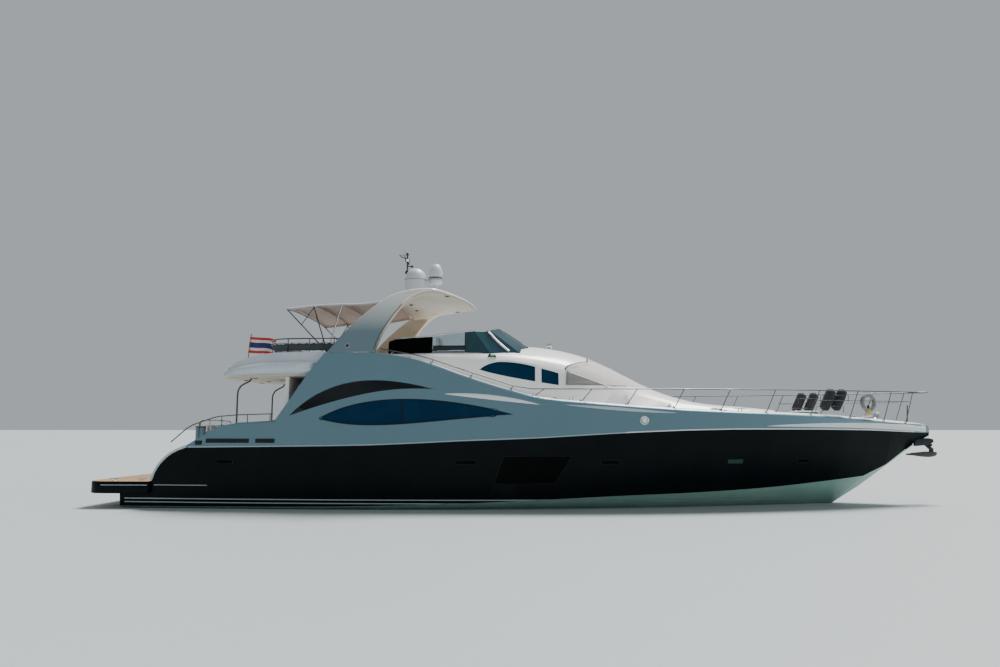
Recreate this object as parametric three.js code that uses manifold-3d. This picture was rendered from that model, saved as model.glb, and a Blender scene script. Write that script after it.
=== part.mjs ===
// A 26 m flybridge motor yacht, afloat on her waterline.
// Millimetres. +X is the bow, +Y is port, +Z is up.
// The origin is on the centreline, at the waterline, half way along her.

import * as THREE from "three";
import { mergeVertices } from "three/addons/utils/BufferGeometryUtils.js";
import Module from "manifold-3d";

const wasm = await Module();
wasm.setup();

// Driving dimensions

const GAP = 0.4; // between pieces that touch
const RUN_CLEAR = 8; // round a shaft or stock that turns
const FAR = 9000; // past the boat on any side, for cutters
const BOW_X = 13100;

const PLATFORM = {
  aftX: -13100,
  foreX: -10860,
  hullX: -11110,
  halfY: 2740,
  wellY: 2530,
  top: 800,
  bottom: 440,
};
const COCKPIT_SOLE = 1700;
const COCKPIT_HALF_Y = 2560;
const STAIR = { x0: -10850, tread: 250, rise: 225, steps: 4, y0: 1350, y1: 2550 };
const TRANSOM = { x: -10450, thick: 150 };
const DOOR = { halfY: 1250, z0: 880, z1: 1560, thick: 45 };
const GARAGE = { foreX: -8300, halfY: 1600, z0: 480, z1: 1560 };
const ENGINE_ROOM = { foreX: -4300, halfY: 1750, z0: -500, z1: 1560 };
const ENGINE = { x0: -7000, x1: -4800, y0: 620, y1: 1620, z0: -440, z1: 760 };

const SALOON_SOLE = 1830;
const SALOON_AFT_X = -7250;
const SALOON_FORE_X = 3300;
const CABIN_FORE_X = 3700;
const SIDE_WALL = 150;
const SIDE_LEAN = 0.16; // inwards for each unit of height above the knuckle
const DECK_CROWN = 90;
const PANE = 24;

const FLY_SOLE = 4100;
const FLY_UNDERSIDE = 3940;
const FLY_TOP = 4700;
const ARCH_FOOT_Z = 4640;

const RAIL = { height: 3520, tube: 18, post: 14, rake: 340 };

const LINES_SPACING = 700; // between the sections that each faired table gets
const ROOF_SPACING = 480;
const FLY_SPACING = 300;
const CORNER_DEPTH = 60; // of the rounding along the deck's edge

// Hull lines. The knuckle parts the dark topsides from the light band above, whose upper edge is the top.
const DRAWN_LINES = [
  { x: -12100, keelZ: -820, chineY: 2420, chineZ: 40, knuckleY: 2720, knuckleZ: 1780, topZ: 1800 },
  { x: -10050, keelZ: -960, chineY: 2560, chineZ: 40, knuckleY: 2860, knuckleZ: 1795, topZ: 1830 },
  { x: -9100, keelZ: -1010, chineY: 2620, chineZ: 45, knuckleY: 2930, knuckleZ: 1805, topZ: 2420 },
  { x: -7300, keelZ: -1090, chineY: 2700, chineZ: 55, knuckleY: 3010, knuckleZ: 1825, topZ: 2600, corner: true },
  { x: -7280, keelZ: -1090, chineY: 2700, chineZ: 55, knuckleY: 3010, knuckleZ: 1825, topZ: 4640, corner: true },
  { x: -5900, keelZ: -1140, chineY: 2740, chineZ: 70, knuckleY: 3060, knuckleZ: 1840, topZ: 4640 },
  { x: -4400, keelZ: -1180, chineY: 2750, chineZ: 95, knuckleY: 3090, knuckleZ: 1870, topZ: 4640, corner: true },
  { x: -3000, keelZ: -1200, chineY: 2740, chineZ: 130, knuckleY: 3110, knuckleZ: 1930, topZ: 4400 },
  { x: -1800, keelZ: -1210, chineY: 2710, chineZ: 170, knuckleY: 3115, knuckleZ: 1990, topZ: 3980 },
  { x: -650, keelZ: -1200, chineY: 2660, chineZ: 215, knuckleY: 3110, knuckleZ: 2030, topZ: 3600 },
  { x: 550, keelZ: -1180, chineY: 2570, chineZ: 270, knuckleY: 3080, knuckleZ: 2080, topZ: 3290 },
  { x: 1900, keelZ: -1140, chineY: 2430, chineZ: 330, knuckleY: 3020, knuckleZ: 2160, topZ: 3150 },
  { x: 3300, keelZ: -1070, chineY: 2220, chineZ: 385, knuckleY: 2900, knuckleZ: 2240, topZ: 3040 },
  { x: 4800, keelZ: -950, chineY: 1930, chineZ: 430, knuckleY: 2720, knuckleZ: 2300, topZ: 2940 },
  { x: 6300, keelZ: -780, chineY: 1580, chineZ: 490, knuckleY: 2460, knuckleZ: 2330, topZ: 2870 },
  { x: 7700, keelZ: -560, chineY: 1210, chineZ: 570, knuckleY: 2130, knuckleZ: 2335, topZ: 2820 },
  { x: 8900, keelZ: -300, chineY: 870, chineZ: 670, knuckleY: 1780, knuckleZ: 2330, topZ: 2770 },
  { x: 9900, keelZ: 0, chineY: 560, chineZ: 760, knuckleY: 1430, knuckleZ: 2320, topZ: 2710 },
  { x: 10800, keelZ: 560, chineY: 260, chineZ: 850, knuckleY: 1060, knuckleZ: 2305, topZ: 2640 },
  { x: 11600, keelZ: 1130, chineY: 120, chineZ: 1200, knuckleY: 720, knuckleZ: 2280, topZ: 2570 },
  { x: 12300, keelZ: 1640, chineY: 60, chineZ: 1690, knuckleY: 400, knuckleZ: 2250, topZ: 2500 },
  { x: 12800, keelZ: 1990, chineY: 30, chineZ: 2020, knuckleY: 170, knuckleZ: 2230, topZ: 2440 },
  { x: BOW_X, keelZ: 2130, chineY: 10, chineZ: 2150, knuckleY: 30, knuckleZ: 2240, topZ: 2370 },
];

// Cabin roof and its trunk on the foredeck: foot, shoulder and centre height.
const DRAWN_ROOF = [
  { x: -4300, footY: 2180, shoulderY: 2120, shoulderZ: 4660, crownZ: 4700 },
  { x: -1500, footY: 2180, shoulderY: 2080, shoulderZ: 4640, crownZ: 4960 },
  { x: -450, footY: 2160, shoulderY: 2020, shoulderZ: 4540, crownZ: 5060 },
  { x: 500, footY: 2120, shoulderY: 1930, shoulderZ: 4400, crownZ: 5020 },
  { x: 1300, footY: 2060, shoulderY: 1800, shoulderZ: 4230, crownZ: 4900 },
  { x: 2100, footY: 1960, shoulderY: 1600, shoulderZ: 4020, crownZ: 4680 },
  { x: 2900, footY: 1830, shoulderY: 1380, shoulderZ: 3760, crownZ: 4330 },
  { x: 3700, footY: 1670, shoulderY: 1180, shoulderZ: 3480, crownZ: 3900 },
  { x: 4300, footY: 1530, shoulderY: 1080, shoulderZ: 3320, crownZ: 3600 },
  { x: 5500, footY: 1250, shoulderY: 900, shoulderZ: 3130, crownZ: 3230 },
  { x: 7200, footY: 900, shoulderY: 640, shoulderZ: 2990, crownZ: 3050 },
  { x: 8100, footY: 600, shoulderY: 400, shoulderZ: 2930, crownZ: 2960 },
];

// Flybridge moulding aft of the arch: half width, underside, and the top of its coaming.
const DRAWN_FLY = [
  { x: -9900, halfY: 450, bottomZ: 3990, topZ: 4090 },
  { x: -9800, halfY: 930, bottomZ: 3970, topZ: 4130 },
  { x: -9600, halfY: 1400, bottomZ: 3950, topZ: 4190 },
  { x: -9300, halfY: 1850, bottomZ: FLY_UNDERSIDE, topZ: 4290 },
  { x: -8900, halfY: 2200, bottomZ: FLY_UNDERSIDE, topZ: 4420 },
  { x: -8400, halfY: 2420, bottomZ: FLY_UNDERSIDE, topZ: 4560 },
  { x: -7800, halfY: 2540, bottomZ: FLY_UNDERSIDE, topZ: 4660 },
  { x: -7300, halfY: 2580, bottomZ: FLY_UNDERSIDE, topZ: 4690 },
  { x: -5700, halfY: 2580, bottomZ: FLY_UNDERSIDE, topZ: FLY_TOP },
];

const SHAFT = { y: 1050, propX: -9150, propZ: -1180, length: 2900, rakeDeg: 6, radius: 45, strutX: 420 };
const PROPELLER = { radius: 420, blades: 5, hub: 95, pitchDeg: 50, thick: 18 };
const CHINE_STEP = { out: 60, up: 25 };
const ANCHOR_POCKET_X = 12300;
const RUDDER = { y: 1050, x: -10080, bottomZ: -1650, thick: 70, stock: 45, aftDrop: 80 };

const HATCH = { x0: 8880, x1: 9520, halfY: 320, rim: 50, floorZ: 2420, topZ: 2890, lid: 32, clear: 6 };
const HELM = { x: -1640, y: -700, wheelX: -1715, wheelZ: 4930, wheelRadius: 185, tiltDeg: 28 };
const STAFF = { x: -9400, footZ: 4200, length: 1360, radius: 16, leanX: 120 };
const ENSIGN = { length: 960, hoist: 560, topZ: 5480, thick: 10 };

// Helpers

function at(table, column, x) {
  const last = table.length - 1;
  if (x <= table[0].x) return table[0][column];
  if (x >= table[last].x) return table[last][column];
  const i = table.findIndex((row) => row.x > x) - 1;
  const a = table[i];
  const b = table[i + 1];
  return a[column] + ((b[column] - a[column]) * (x - a.x)) / (b.x - a.x);
}

// The slope of a column at each row of a smooth stretch, without overshoot.
function slopes(rows, column) {
  const steps = rows.slice(1).map((row, i) => (row[column] - rows[i][column]) / (row.x - rows[i].x));
  return rows.map((_, i) => {
    const before = steps[Math.max(i - 1, 0)];
    const after = steps[Math.min(i, steps.length - 1)];
    if (before * after <= 0) return 0;
    const most = 3 * Math.min(Math.abs(before), Math.abs(after));
    return Math.sign(before) * Math.min(Math.abs(before + after) / 2, most);
  });
}

// A table with rows added between its own, on smooth curves that break only at its corners.
function faired(table, spacing) {
  const columns = Object.keys(table[0]).filter((name) => name !== "x");
  const corners = table.flatMap((row, i) => (i === 0 || i === table.length - 1 || row.corner ? [i] : []));
  const rows = [table[0]];
  for (let c = 0; c + 1 < corners.length; c++) {
    const span = table.slice(corners[c], corners[c + 1] + 1);
    const slope = Object.fromEntries(columns.map((name) => [name, slopes(span, name)]));
    for (let i = 0; i + 1 < span.length; i++) {
      const a = span[i];
      const b = span[i + 1];
      const width = b.x - a.x;
      const parts = Math.max(1, Math.round(width / spacing));
      for (let k = 1; k <= parts; k++) {
        const t = k / parts;
        const row = { x: a.x + t * width };
        for (const name of columns) {
          const start = slope[name][i] * width;
          const end = slope[name][i + 1] * width;
          const rise = b[name] - a[name];
          const bend = 3 * rise - 2 * start - end;
          row[name] = a[name] + t * (start + t * (bend + t * (start + end - 2 * rise)));
        }
        rows.push(row);
      }
    }
  }
  return rows;
}

const LINES = faired(DRAWN_LINES, LINES_SPACING);
const ROOF = faired(DRAWN_ROOF, ROOF_SPACING);
const FLY = faired(DRAWN_FLY, FLY_SPACING);

function solidOf(geometry) {
  const g = geometry.clone();
  g.deleteAttribute("normal");
  g.deleteAttribute("uv");
  const merged = mergeVertices(g, 1e-3);
  const build = (index) =>
    new wasm.Manifold(
      new wasm.Mesh({
        numProp: 3,
        vertProperties: merged.attributes.position.array,
        triVerts: new Uint32Array(index),
      }),
    );
  const solid = build(merged.index.array);
  if (solid.volume() >= 0) return solid;
  const turned = Array.from(merged.index.array);
  for (let i = 0; i < turned.length; i += 3) {
    const second = turned[i + 1];
    turned[i + 1] = turned[i + 2];
    turned[i + 2] = second;
  }
  return build(turned);
}

function geometryOf(solid) {
  const mesh = solid.getMesh();
  const positions = new Float32Array(mesh.numVert * 3);
  for (let i = 0; i < mesh.numVert; i++)
    positions.set(mesh.vertProperties.subarray(i * mesh.numProp, i * mesh.numProp + 3), i * 3);
  const geometry = new THREE.BufferGeometry();
  geometry.setAttribute("position", new THREE.BufferAttribute(positions, 3));
  geometry.setIndex(new THREE.BufferAttribute(new Uint32Array(mesh.triVerts), 1));
  geometry.computeVertexNormals();
  return geometry;
}

const joined = (solids) => solids.reduce((a, b) => a.add(b));
const without = (solid, cutters) => cutters.reduce((a, b) => a.subtract(b), solid);

function reshaped(solid, change) {
  const g = geometryOf(solid);
  change(g);
  return solidOf(g);
}

const moved = (solid, x, y, z) => reshaped(solid, (g) => g.translate(x, y, z));
const flipped = (solid) => reshaped(solid, (g) => g.scale(1, -1, 1));
const bothSides = (solid) => [solid, flipped(solid)];

const SHIFTS = [[0, 0, GAP], [0, 0, -GAP], [0, GAP, 0], [0, -GAP, 0], [GAP, 0, 0], [-GAP, 0, 0]];

// Cuts a piece by what it meets, a touch clear of it on every side.
function clearOf(solid, ...supports) {
  return without(solid, supports.flatMap((support) => SHIFTS.map((shift) => moved(support, ...shift))));
}

// The largest of the bodies that a cut leaves.
function mainBody(solid) {
  return solid.decompose().reduce((a, b) => (b.volume() > a.volume() ? b : a));
}

// A closed skin over rings of like point counts, each ring a list of [x, y, z].
function skinOver(rings, capView) {
  const count = rings[0].length;
  const index = [];
  for (let r = 0; r + 1 < rings.length; r++) {
    for (let i = 0; i < count; i++) {
      const a = r * count + i;
      const b = r * count + ((i + 1) % count);
      index.push(a, b, b + count, a, b + count, a + count);
    }
  }
  for (const r of [0, rings.length - 1]) {
    const outline = rings[r].map(capView);
    const turnedRound = THREE.ShapeUtils.isClockWise(outline);
    for (const [a, b, c] of THREE.ShapeUtils.triangulateShape(outline, [])) {
      const flip = (r === 0) !== turnedRound;
      index.push(r * count + a, r * count + (flip ? c : b), r * count + (flip ? b : c));
    }
  }
  const geometry = new THREE.BufferGeometry();
  geometry.setAttribute("position", new THREE.Float32BufferAttribute(rings.flat(2), 3));
  geometry.setIndex(index);
  return solidOf(geometry);
}

// Rings across the boat, each a list of [y, z] at its x.
function loft(rings) {
  const whole = rings.map(({ x, points }) => points.map(([y, z]) => [x, y, z]));
  return skinOver(whole, ([, y, z]) => new THREE.Vector2(y, z));
}

// Level rings, each a list of [x, y] at its z.
function stacked(rings) {
  const whole = rings.map(({ z, points }) => points.map(([x, y]) => [x, y, z]));
  return skinOver(whole, ([x, y]) => new THREE.Vector2(x, y));
}

// Mirrors a starboard half outline, given from the centreline outwards and up, into a whole ring.
function mirrored(half) {
  const port = half
    .filter(([y]) => y !== 0)
    .map(([y, z]) => [-y, z])
    .reverse();
  return [...half, ...port];
}

// The same for a plan outline of [x, y].
function mirroredPlan(half) {
  const port = half
    .filter(([, y]) => y !== 0)
    .map(([x, y]) => [x, -y])
    .reverse();
  return [...half, ...port];
}

const shapeOf = (points) => new THREE.Shape(points.map(([u, v]) => new THREE.Vector2(u, v)));

// An outline moved inwards by a margin, or outwards where the margin is negative.
function inset(shape, margin, curveSegments = 8) {
  const isNew = (p, i, all) => i === 0 || p.distanceTo(all[i - 1]) > 1;
  const points = shape.getPoints(curveSegments).filter(isNew);
  if (points[0].distanceTo(points[points.length - 1]) < 1) points.pop();
  const inwards = THREE.ShapeUtils.isClockWise(points) ? -1 : 1;
  return new THREE.Shape(
    points.map((p, i) => {
      const before = p.clone().sub(points[(i + points.length - 1) % points.length]).normalize();
      const after = points[(i + 1) % points.length].clone().sub(p).normalize();
      const bisector = new THREE.Vector2(-before.y - after.y, before.x + after.x).multiplyScalar(0.5 * inwards);
      const stretch = Math.min(1 / Math.max(bisector.lengthSq(), 0.01), 36);
      return p.clone().addScaledVector(bisector, margin * stretch);
    }),
  );
}

function extruded(shape, depth, curveSegments = 8) {
  return new THREE.ExtrudeGeometry(shape, { depth, bevelEnabled: false, curveSegments });
}

// Side view outlines (x, z) pushed through from y0 to y1.
function acrossY(shape, y0 = -FAR, y1 = FAR, curveSegments = 8) {
  const g = extruded(shape, y1 - y0, curveSegments);
  g.rotateX(Math.PI / 2);
  g.translate(0, y1, 0);
  return solidOf(g);
}

// Plan outlines (x, y) raised from z0 to z1.
function raised(shape, z0, z1, curveSegments = 8) {
  const g = extruded(shape, z1 - z0, curveSegments);
  g.translate(0, 0, z0);
  return solidOf(g);
}

function box(x0, x1, y0, y1, z0, z1) {
  const g = new THREE.BoxGeometry(x1 - x0, y1 - y0, z1 - z0);
  g.translate((x0 + x1) / 2, (y0 + y1) / 2, (z0 + z1) / 2);
  return solidOf(g);
}

function cylinder(radius, length, axis, centre, sides = 16, endRadius = radius) {
  const g = new THREE.CylinderGeometry(endRadius, radius, length, sides);
  if (axis === "x") g.rotateZ(-Math.PI / 2);
  if (axis === "z") g.rotateX(Math.PI / 2);
  g.translate(...centre);
  return solidOf(g);
}

// A round bar between two points.
function bar(from, to, radius, sides = 6) {
  const a = new THREE.Vector3(...from);
  const b = new THREE.Vector3(...to);
  const g = new THREE.CylinderGeometry(radius, radius, a.distanceTo(b), sides);
  g.translate(0, a.distanceTo(b) / 2, 0);
  const along = b.clone().sub(a).normalize();
  g.applyQuaternion(new THREE.Quaternion().setFromUnitVectors(new THREE.Vector3(0, 1, 0), along));
  g.translate(a.x, a.y, a.z);
  return solidOf(g);
}

function ringPoints(radius, sides) {
  return Array.from({ length: sides }, (_, i) => {
    const a = (2 * Math.PI * i) / sides;
    return [radius * Math.cos(a), radius * Math.sin(a)];
  });
}

// A round bar along a curve through the points; a tension of 0 keeps it straight between them.
function bentBar(points, radius, steps, sides = 6, tension = 0.5) {
  const corners = points.map((p) => new THREE.Vector3(...p));
  const path = new THREE.CatmullRomCurve3(corners, false, "catmullrom", tension);
  const shape = shapeOf(ringPoints(radius, sides));
  return solidOf(new THREE.ExtrudeGeometry(shape, { steps, bevelEnabled: false, extrudePath: path }));
}

function lathe(profile, sides, centre, axis = "z") {
  const g = new THREE.LatheGeometry(profile.map(([r, z]) => new THREE.Vector2(r, z)), sides);
  g.rotateX(Math.PI / 2);
  if (axis === "x") g.rotateY(Math.PI / 2);
  g.translate(...centre);
  return solidOf(g);
}

const yacht = new THREE.Group();
const COLOURS = {
  black: [0x0d1118, 0.12, 0.1],
  silver: [0x8fa6ac, 0.25, 0.45],
  white: [0xf1f0ec, 0.3, 0],
  glass: [0x16324c, 0.06, 0.2],
  steel: [0xc9ccce, 0.18, 1],
  bronze: [0xb08a4a, 0.35, 1],
  rubber: [0x101112, 0.8, 0],
  teak: [0xb08a5c, 0.7, 0],
  cushion: [0xe9e3d6, 0.8, 0],
  canvas: [0xddd5c6, 0.85, 0],
  iron: [0x4a4d50, 0.5, 0.7],
};

function subAssembly() {
  const group = new THREE.Group();
  yacht.add(group);
  return group;
}

function add(group, name, solid, colour, position = [0, 0, 0]) {
  const [color, roughness, metalness] = COLOURS[colour];
  const mesh = new THREE.Mesh(
    geometryOf(solid),
    new THREE.MeshStandardMaterial({ color, roughness, metalness }),
  );
  mesh.name = name;
  mesh.position.set(...position);
  group.add(mesh);
}

// The same piece on both sides, made on the starboard side.
function addPair(group, name, solid, colour, position = [0, 0, 0]) {
  const [x, y, z] = position;
  add(group, name + "_starboard", solid, colour, position);
  add(group, name + "_port", flipped(solid), colour, [x, -y, z]);
}

// Side surfaces, starboard

const leanAt = (x) => (x < 1000 ? SIDE_LEAN : SIDE_LEAN * (1 - (0.8 * (x - 1000)) / (BOW_X - 1000)));
const sideY = (x, z) => at(LINES, "knuckleY", x) - leanAt(x) * (z - at(LINES, "knuckleZ", x));
const topY = (x) => sideY(x, at(LINES, "topZ", x));

// Topsides below the knuckle lean out from the step over the chine.
function topsideY(x, z) {
  const stepZ = at(LINES, "chineZ", x) + CHINE_STEP.up;
  const stepY = at(LINES, "chineY", x) + CHINE_STEP.out;
  const share = (z - stepZ) / (at(LINES, "knuckleZ", x) - stepZ);
  return stepY + share * (at(LINES, "knuckleY", x) - stepY);
}

function stationsBetween(x0, x1) {
  return [x0, ...LINES.map((row) => row.x).filter((x) => x > x0 && x < x1), x1];
}

// A slice of the boat's side between two depths under its surface, cut to an outline in side view.
function slice(surfaceY, outline, depths, xs, [z0, z1]) {
  const rings = stationsBetween(...xs).map((x) => ({
    x,
    points: [
      [-(surfaceY(x, z0) - depths[1]), z0],
      [-(surfaceY(x, z0) - depths[0]), z0],
      [-(surfaceY(x, z1) - depths[0]), z1],
      [-(surfaceY(x, z1) - depths[1]), z1],
    ],
  }));
  return loft(rings).intersect(acrossY(outline, -FAR, 0, WINDOW_SEGMENTS));
}

// Window outlines in side view

const WINDOW_SEGMENTS = 14; // along each of their curves

const EYE = new THREE.Shape();
EYE.moveTo(-5960, 2660);
EYE.bezierCurveTo(-4700, 3460, -2300, 3330, -200, 2770);
EYE.bezierCurveTo(-2600, 2640, -4500, 2230, -5960, 2660);

const LOUVRE = new THREE.Shape();
LOUVRE.moveTo(-6900, 2740);
LOUVRE.bezierCurveTo(-5800, 3920, -4400, 4010, -2570, 3520);
LOUVRE.bezierCurveTo(-3700, 3600, -4800, 3480, -6900, 2740);

const HULL_WINDOW = shapeOf([[-780, 780], [980, 780], [1450, 1550], [-490, 1550]]);
const CABIN_WINDOW_AFT = new THREE.Shape();
CABIN_WINDOW_AFT.moveTo(-1280, 4160);
CABIN_WINDOW_AFT.quadraticCurveTo(-950, 4420, -560, 4400);
CABIN_WINDOW_AFT.quadraticCurveTo(-50, 4390, 430, 4250);
CABIN_WINDOW_AFT.lineTo(430, 3790);
CABIN_WINDOW_AFT.quadraticCurveTo(-900, 4010, -1280, 4160);
const CABIN_WINDOW_FORE = shapeOf([[620, 4200], [1150, 4060], [1150, 3680], [620, 3760]]);
const WINDSCREEN = shapeOf([
  [1420, 3690],
  [1420, 4230],
  [2150, 4420],
  [2350, 5200],
  [4000, 5200],
  [4000, 3680],
  [2900, 3690],
]);

// The dark side sweeps down from the cockpit to the platform.
const STERN_CUT = new THREE.Shape();
STERN_CUT.moveTo(-14000, PLATFORM.bottom - GAP);
STERN_CUT.lineTo(PLATFORM.hullX, PLATFORM.bottom - GAP);
STERN_CUT.lineTo(PLATFORM.hullX, PLATFORM.top + 20);
STERN_CUT.quadraticCurveTo(-10850, 1560, -9980, 1860);
STERN_CUT.lineTo(-14000, 3000);

// Cabin side seen from abeam, aft edge: it rakes forward up to the arch's foot.
const SIDE_AFT_EDGE = [[-7290, 2650], [-6390, 4070], [-5960, ARCH_FOOT_Z]];

// Running gear

// Lays a solid built along +X, with its origin at the propeller, onto the raked shaft line.
function onShaftLine(solid) {
  return reshaped(solid, (g) => {
    g.rotateY(THREE.MathUtils.degToRad(-SHAFT.rakeDeg));
    g.translate(SHAFT.propX, -SHAFT.y, SHAFT.propZ);
  });
}

function hullBottomZ(x, y) {
  const keel = at(LINES, "keelZ", x);
  const chine = at(LINES, "chineZ", x);
  return keel + ((chine - keel) * Math.abs(y)) / at(LINES, "chineY", x);
}

function makePropeller() {
  const { radius, blades, hub, pitchDeg, thick } = PROPELLER;
  const profile = [[0, -200], [45, -180], [hub * 0.8, -100], [hub, 0], [hub, 110], [hub * 0.7, 160], [0, 160]];
  const outline = new THREE.Shape();
  outline.moveTo(-50, 60);
  outline.bezierCurveTo(-200, 180, -190, 360, 0, radius);
  outline.bezierCurveTo(160, 380, 160, 190, 60, 60);
  const pieces = [lathe(profile, 16, [0, 0, 0], "x")];
  for (let i = 0; i < blades; i++) {
    const g = extruded(outline, thick, 5);
    g.translate(0, 0, -thick / 2);
    g.rotateX(Math.PI / 2);
    g.rotateZ(THREE.MathUtils.degToRad(pitchDeg));
    g.rotateX((2 * Math.PI * i) / blades);
    pieces.push(solidOf(g));
  }
  return onShaftLine(joined(pieces));
}

function makeShaft() {
  return onShaftLine(cylinder(SHAFT.radius, SHAFT.length, "x", [160 + GAP + SHAFT.length / 2, 0, 0], 12));
}

function shaftBore() {
  const middle = [170 + RUN_CLEAR + SHAFT.length / 2, 0, 0];
  return onShaftLine(cylinder(SHAFT.radius + RUN_CLEAR, SHAFT.length, "x", middle, 12));
}

function makeStrut(hullForm) {
  const barrel = onShaftLine(cylinder(95, 300, "x", [SHAFT.strutX, 0, 0], 12));
  const x = SHAFT.propX + SHAFT.strutX;
  const top = hullBottomZ(x, SHAFT.y) + 60;
  const leg = box(x - 110, x + 110, -SHAFT.y - 24, -SHAFT.y + 24, SHAFT.propZ + 40, top);
  return clearOf(barrel.add(leg).subtract(shaftBore()), hullForm, flipped(hullForm));
}

function rudderTop() {
  return hullBottomZ(RUDDER.x, RUDDER.y) - 90;
}

function makeRudder() {
  const { x, y, bottomZ, thick, stock, aftDrop } = RUDDER;
  const top = rudderTop();
  const section = new THREE.Shape();
  section.moveTo(x + 170, -y);
  section.quadraticCurveTo(x + 120, -y + thick / 2, x - 20, -y + thick / 2);
  section.lineTo(x - 430, -y + 8);
  section.lineTo(x - 430, -y - 8);
  section.lineTo(x - 20, -y - thick / 2);
  section.quadraticCurveTo(x + 120, -y - thick / 2, x + 170, -y);
  const side = [[x + 170, top], [x, top], [x - 430, top - aftDrop], [x - 390, bottomZ], [x + 100, bottomZ]];
  const blade = raised(section, bottomZ, top, 4).intersect(acrossY(shapeOf(side)));
  return blade.add(cylinder(stock, 140, "z", [x, -y, top + 60], 12));
}

// Hull: dark topsides and light bottom, decked at the knuckle.

function makeHullForm() {
  return loft(
    LINES.map((row) => ({
      x: row.x,
      points: mirrored([
        [0, row.keelZ],
        [-row.chineY, row.chineZ],
        [-row.chineY - (row.chineY > 100 ? CHINE_STEP.out : 0), row.chineZ + CHINE_STEP.up],
        [-row.knuckleY, row.knuckleZ],
      ]),
    })),
  );
}

function stairCuts() {
  return Array.from({ length: STAIR.steps - 1 }, (_, i) => {
    const x0 = STAIR.x0 + i * STAIR.tread;
    return box(x0 - 5, x0 + STAIR.tread, -STAIR.y1, -STAIR.y0, PLATFORM.top + (i + 1) * STAIR.rise, FAR);
  });
}

function makeHull(hullForm) {
  const windowCut = slice(topsideY, inset(HULL_WINDOW, -6), [-200, 34], [-1000, 1700], [600, 1700]);
  const stock = RUDDER.stock + RUN_CLEAR;
  const { foreX, halfY, z0, z1 } = ENGINE_ROOM;
  const cuts = [
    acrossY(STERN_CUT),
    box(-14000, PLATFORM.foreX + 10, -COCKPIT_HALF_Y, COCKPIT_HALF_Y, PLATFORM.bottom - GAP, FAR),
    box(PLATFORM.foreX, TRANSOM.x, -STAIR.y0, STAIR.y0, PLATFORM.top, FAR),
    box(TRANSOM.x, SALOON_AFT_X, -COCKPIT_HALF_Y, COCKPIT_HALF_Y, COCKPIT_SOLE, FAR),
    box(TRANSOM.x - 10, TRANSOM.x + TRANSOM.thick + 10, -DOOR.halfY, DOOR.halfY, DOOR.z0, DOOR.z1),
    box(TRANSOM.x + TRANSOM.thick, GARAGE.foreX, -GARAGE.halfY, GARAGE.halfY, GARAGE.z0, GARAGE.z1),
    box(GARAGE.foreX - 10, foreX, -halfY, halfY, z0, z1),
    ...stairCuts().flatMap(bothSides),
    ...bothSides(windowCut),
    ...bothSides(shaftBore()),
    box(ANCHOR_POCKET_X, FAR * 2, -45, 45, 1850, 2010),
    ...bothSides(cylinder(stock, 300, "z", [RUDDER.x, -RUDDER.y, rudderTop() + 70], 12)),
  ];
  return without(hullForm, cuts);
}

function makePlatform() {
  const { aftX, foreX, hullX, halfY, wellY, top, bottom } = PLATFORM;
  const plan = new THREE.Shape();
  plan.moveTo(foreX - GAP, -wellY);
  plan.lineTo(foreX - GAP, wellY);
  plan.lineTo(hullX - 4, wellY);
  plan.lineTo(hullX - 4, halfY);
  plan.lineTo(aftX + 500, halfY);
  plan.quadraticCurveTo(aftX, halfY - 40, aftX, halfY - 640);
  plan.lineTo(aftX, -(halfY - 640));
  plan.quadraticCurveTo(aftX, -(halfY - 40), aftX + 500, -halfY);
  plan.lineTo(hullX - 4, -halfY);
  plan.lineTo(hullX - 4, -wellY);
  return raised(plan, bottom, top, 6);
}

function makeGarageDoor() {
  const x = TRANSOM.x + 2;
  return box(x, x + DOOR.thick, -DOOR.halfY + 6, DOOR.halfY - 6, DOOR.z0 + 6, DOOR.z1 - 6);
}

// Superstructure: cockpit coamings, cabin sides and foredeck in one moulding.

// How far the deck's edge is rounded: not where the arch stands on it.
function cornerDepth(x) {
  const share = x < -7290 ? 1 : THREE.MathUtils.clamp((x + 4300) / 1500, 0.02, 1);
  const bandHeight = at(LINES, "topZ", x) - at(LINES, "knuckleZ", x);
  return share * Math.min(CORNER_DEPTH, topY(x) / 7, bandHeight * 0.4);
}

// Rounds the corner of a section between two points that lie on either side of it.
function roundedCorner(from, corner, to, steps) {
  const ends = [from, corner, to].map(([y, z]) => new THREE.Vector2(y, z));
  const curve = new THREE.QuadraticBezierCurve(...ends);
  return curve.getPoints(steps).map((p) => [p.x, p.y]);
}

function makeSideForm() {
  return loft(
    LINES.filter((row) => row.x >= -10050).map(({ x, knuckleY, knuckleZ, topZ }) => {
      const depth = cornerDepth(x);
      const edge = topY(x);
      const below = [-edge - (depth * (knuckleY - edge)) / Math.max(topZ - knuckleZ, 1), topZ - depth];
      const rise = (DECK_CROWN * 0.75) / Math.max(edge * 0.5, 1);
      const inside = [-edge + depth * 1.5, topZ + rise * depth * 1.5];
      return {
        x,
        points: mirrored([
          [0, knuckleZ + GAP],
          [-knuckleY, knuckleZ + GAP],
          ...roundedCorner(below, [-edge, topZ], inside, 2),
          [-edge * 0.5, topZ + DECK_CROWN * 0.75],
          [0, topZ + DECK_CROWN],
        ]),
      };
    }),
  );
}

// The saloon: inside the side walls and under the side decks.
function saloonSpace() {
  return loft(
    stationsBetween(SALOON_AFT_X + 150, SALOON_FORE_X).map((x) => {
      const ceiling = Math.min(at(LINES, "topZ", x) - 130, FLY_UNDERSIDE - 200);
      return {
        x,
        points: mirrored([
          [0, 1000],
          [-(sideY(x, 2000) - SIDE_WALL), 1000],
          [-(sideY(x, 2000) - SIDE_WALL), 2000],
          [-(sideY(x, ceiling) - SIDE_WALL), ceiling],
          [0, ceiling],
        ]),
      };
    }),
  );
}

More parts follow.
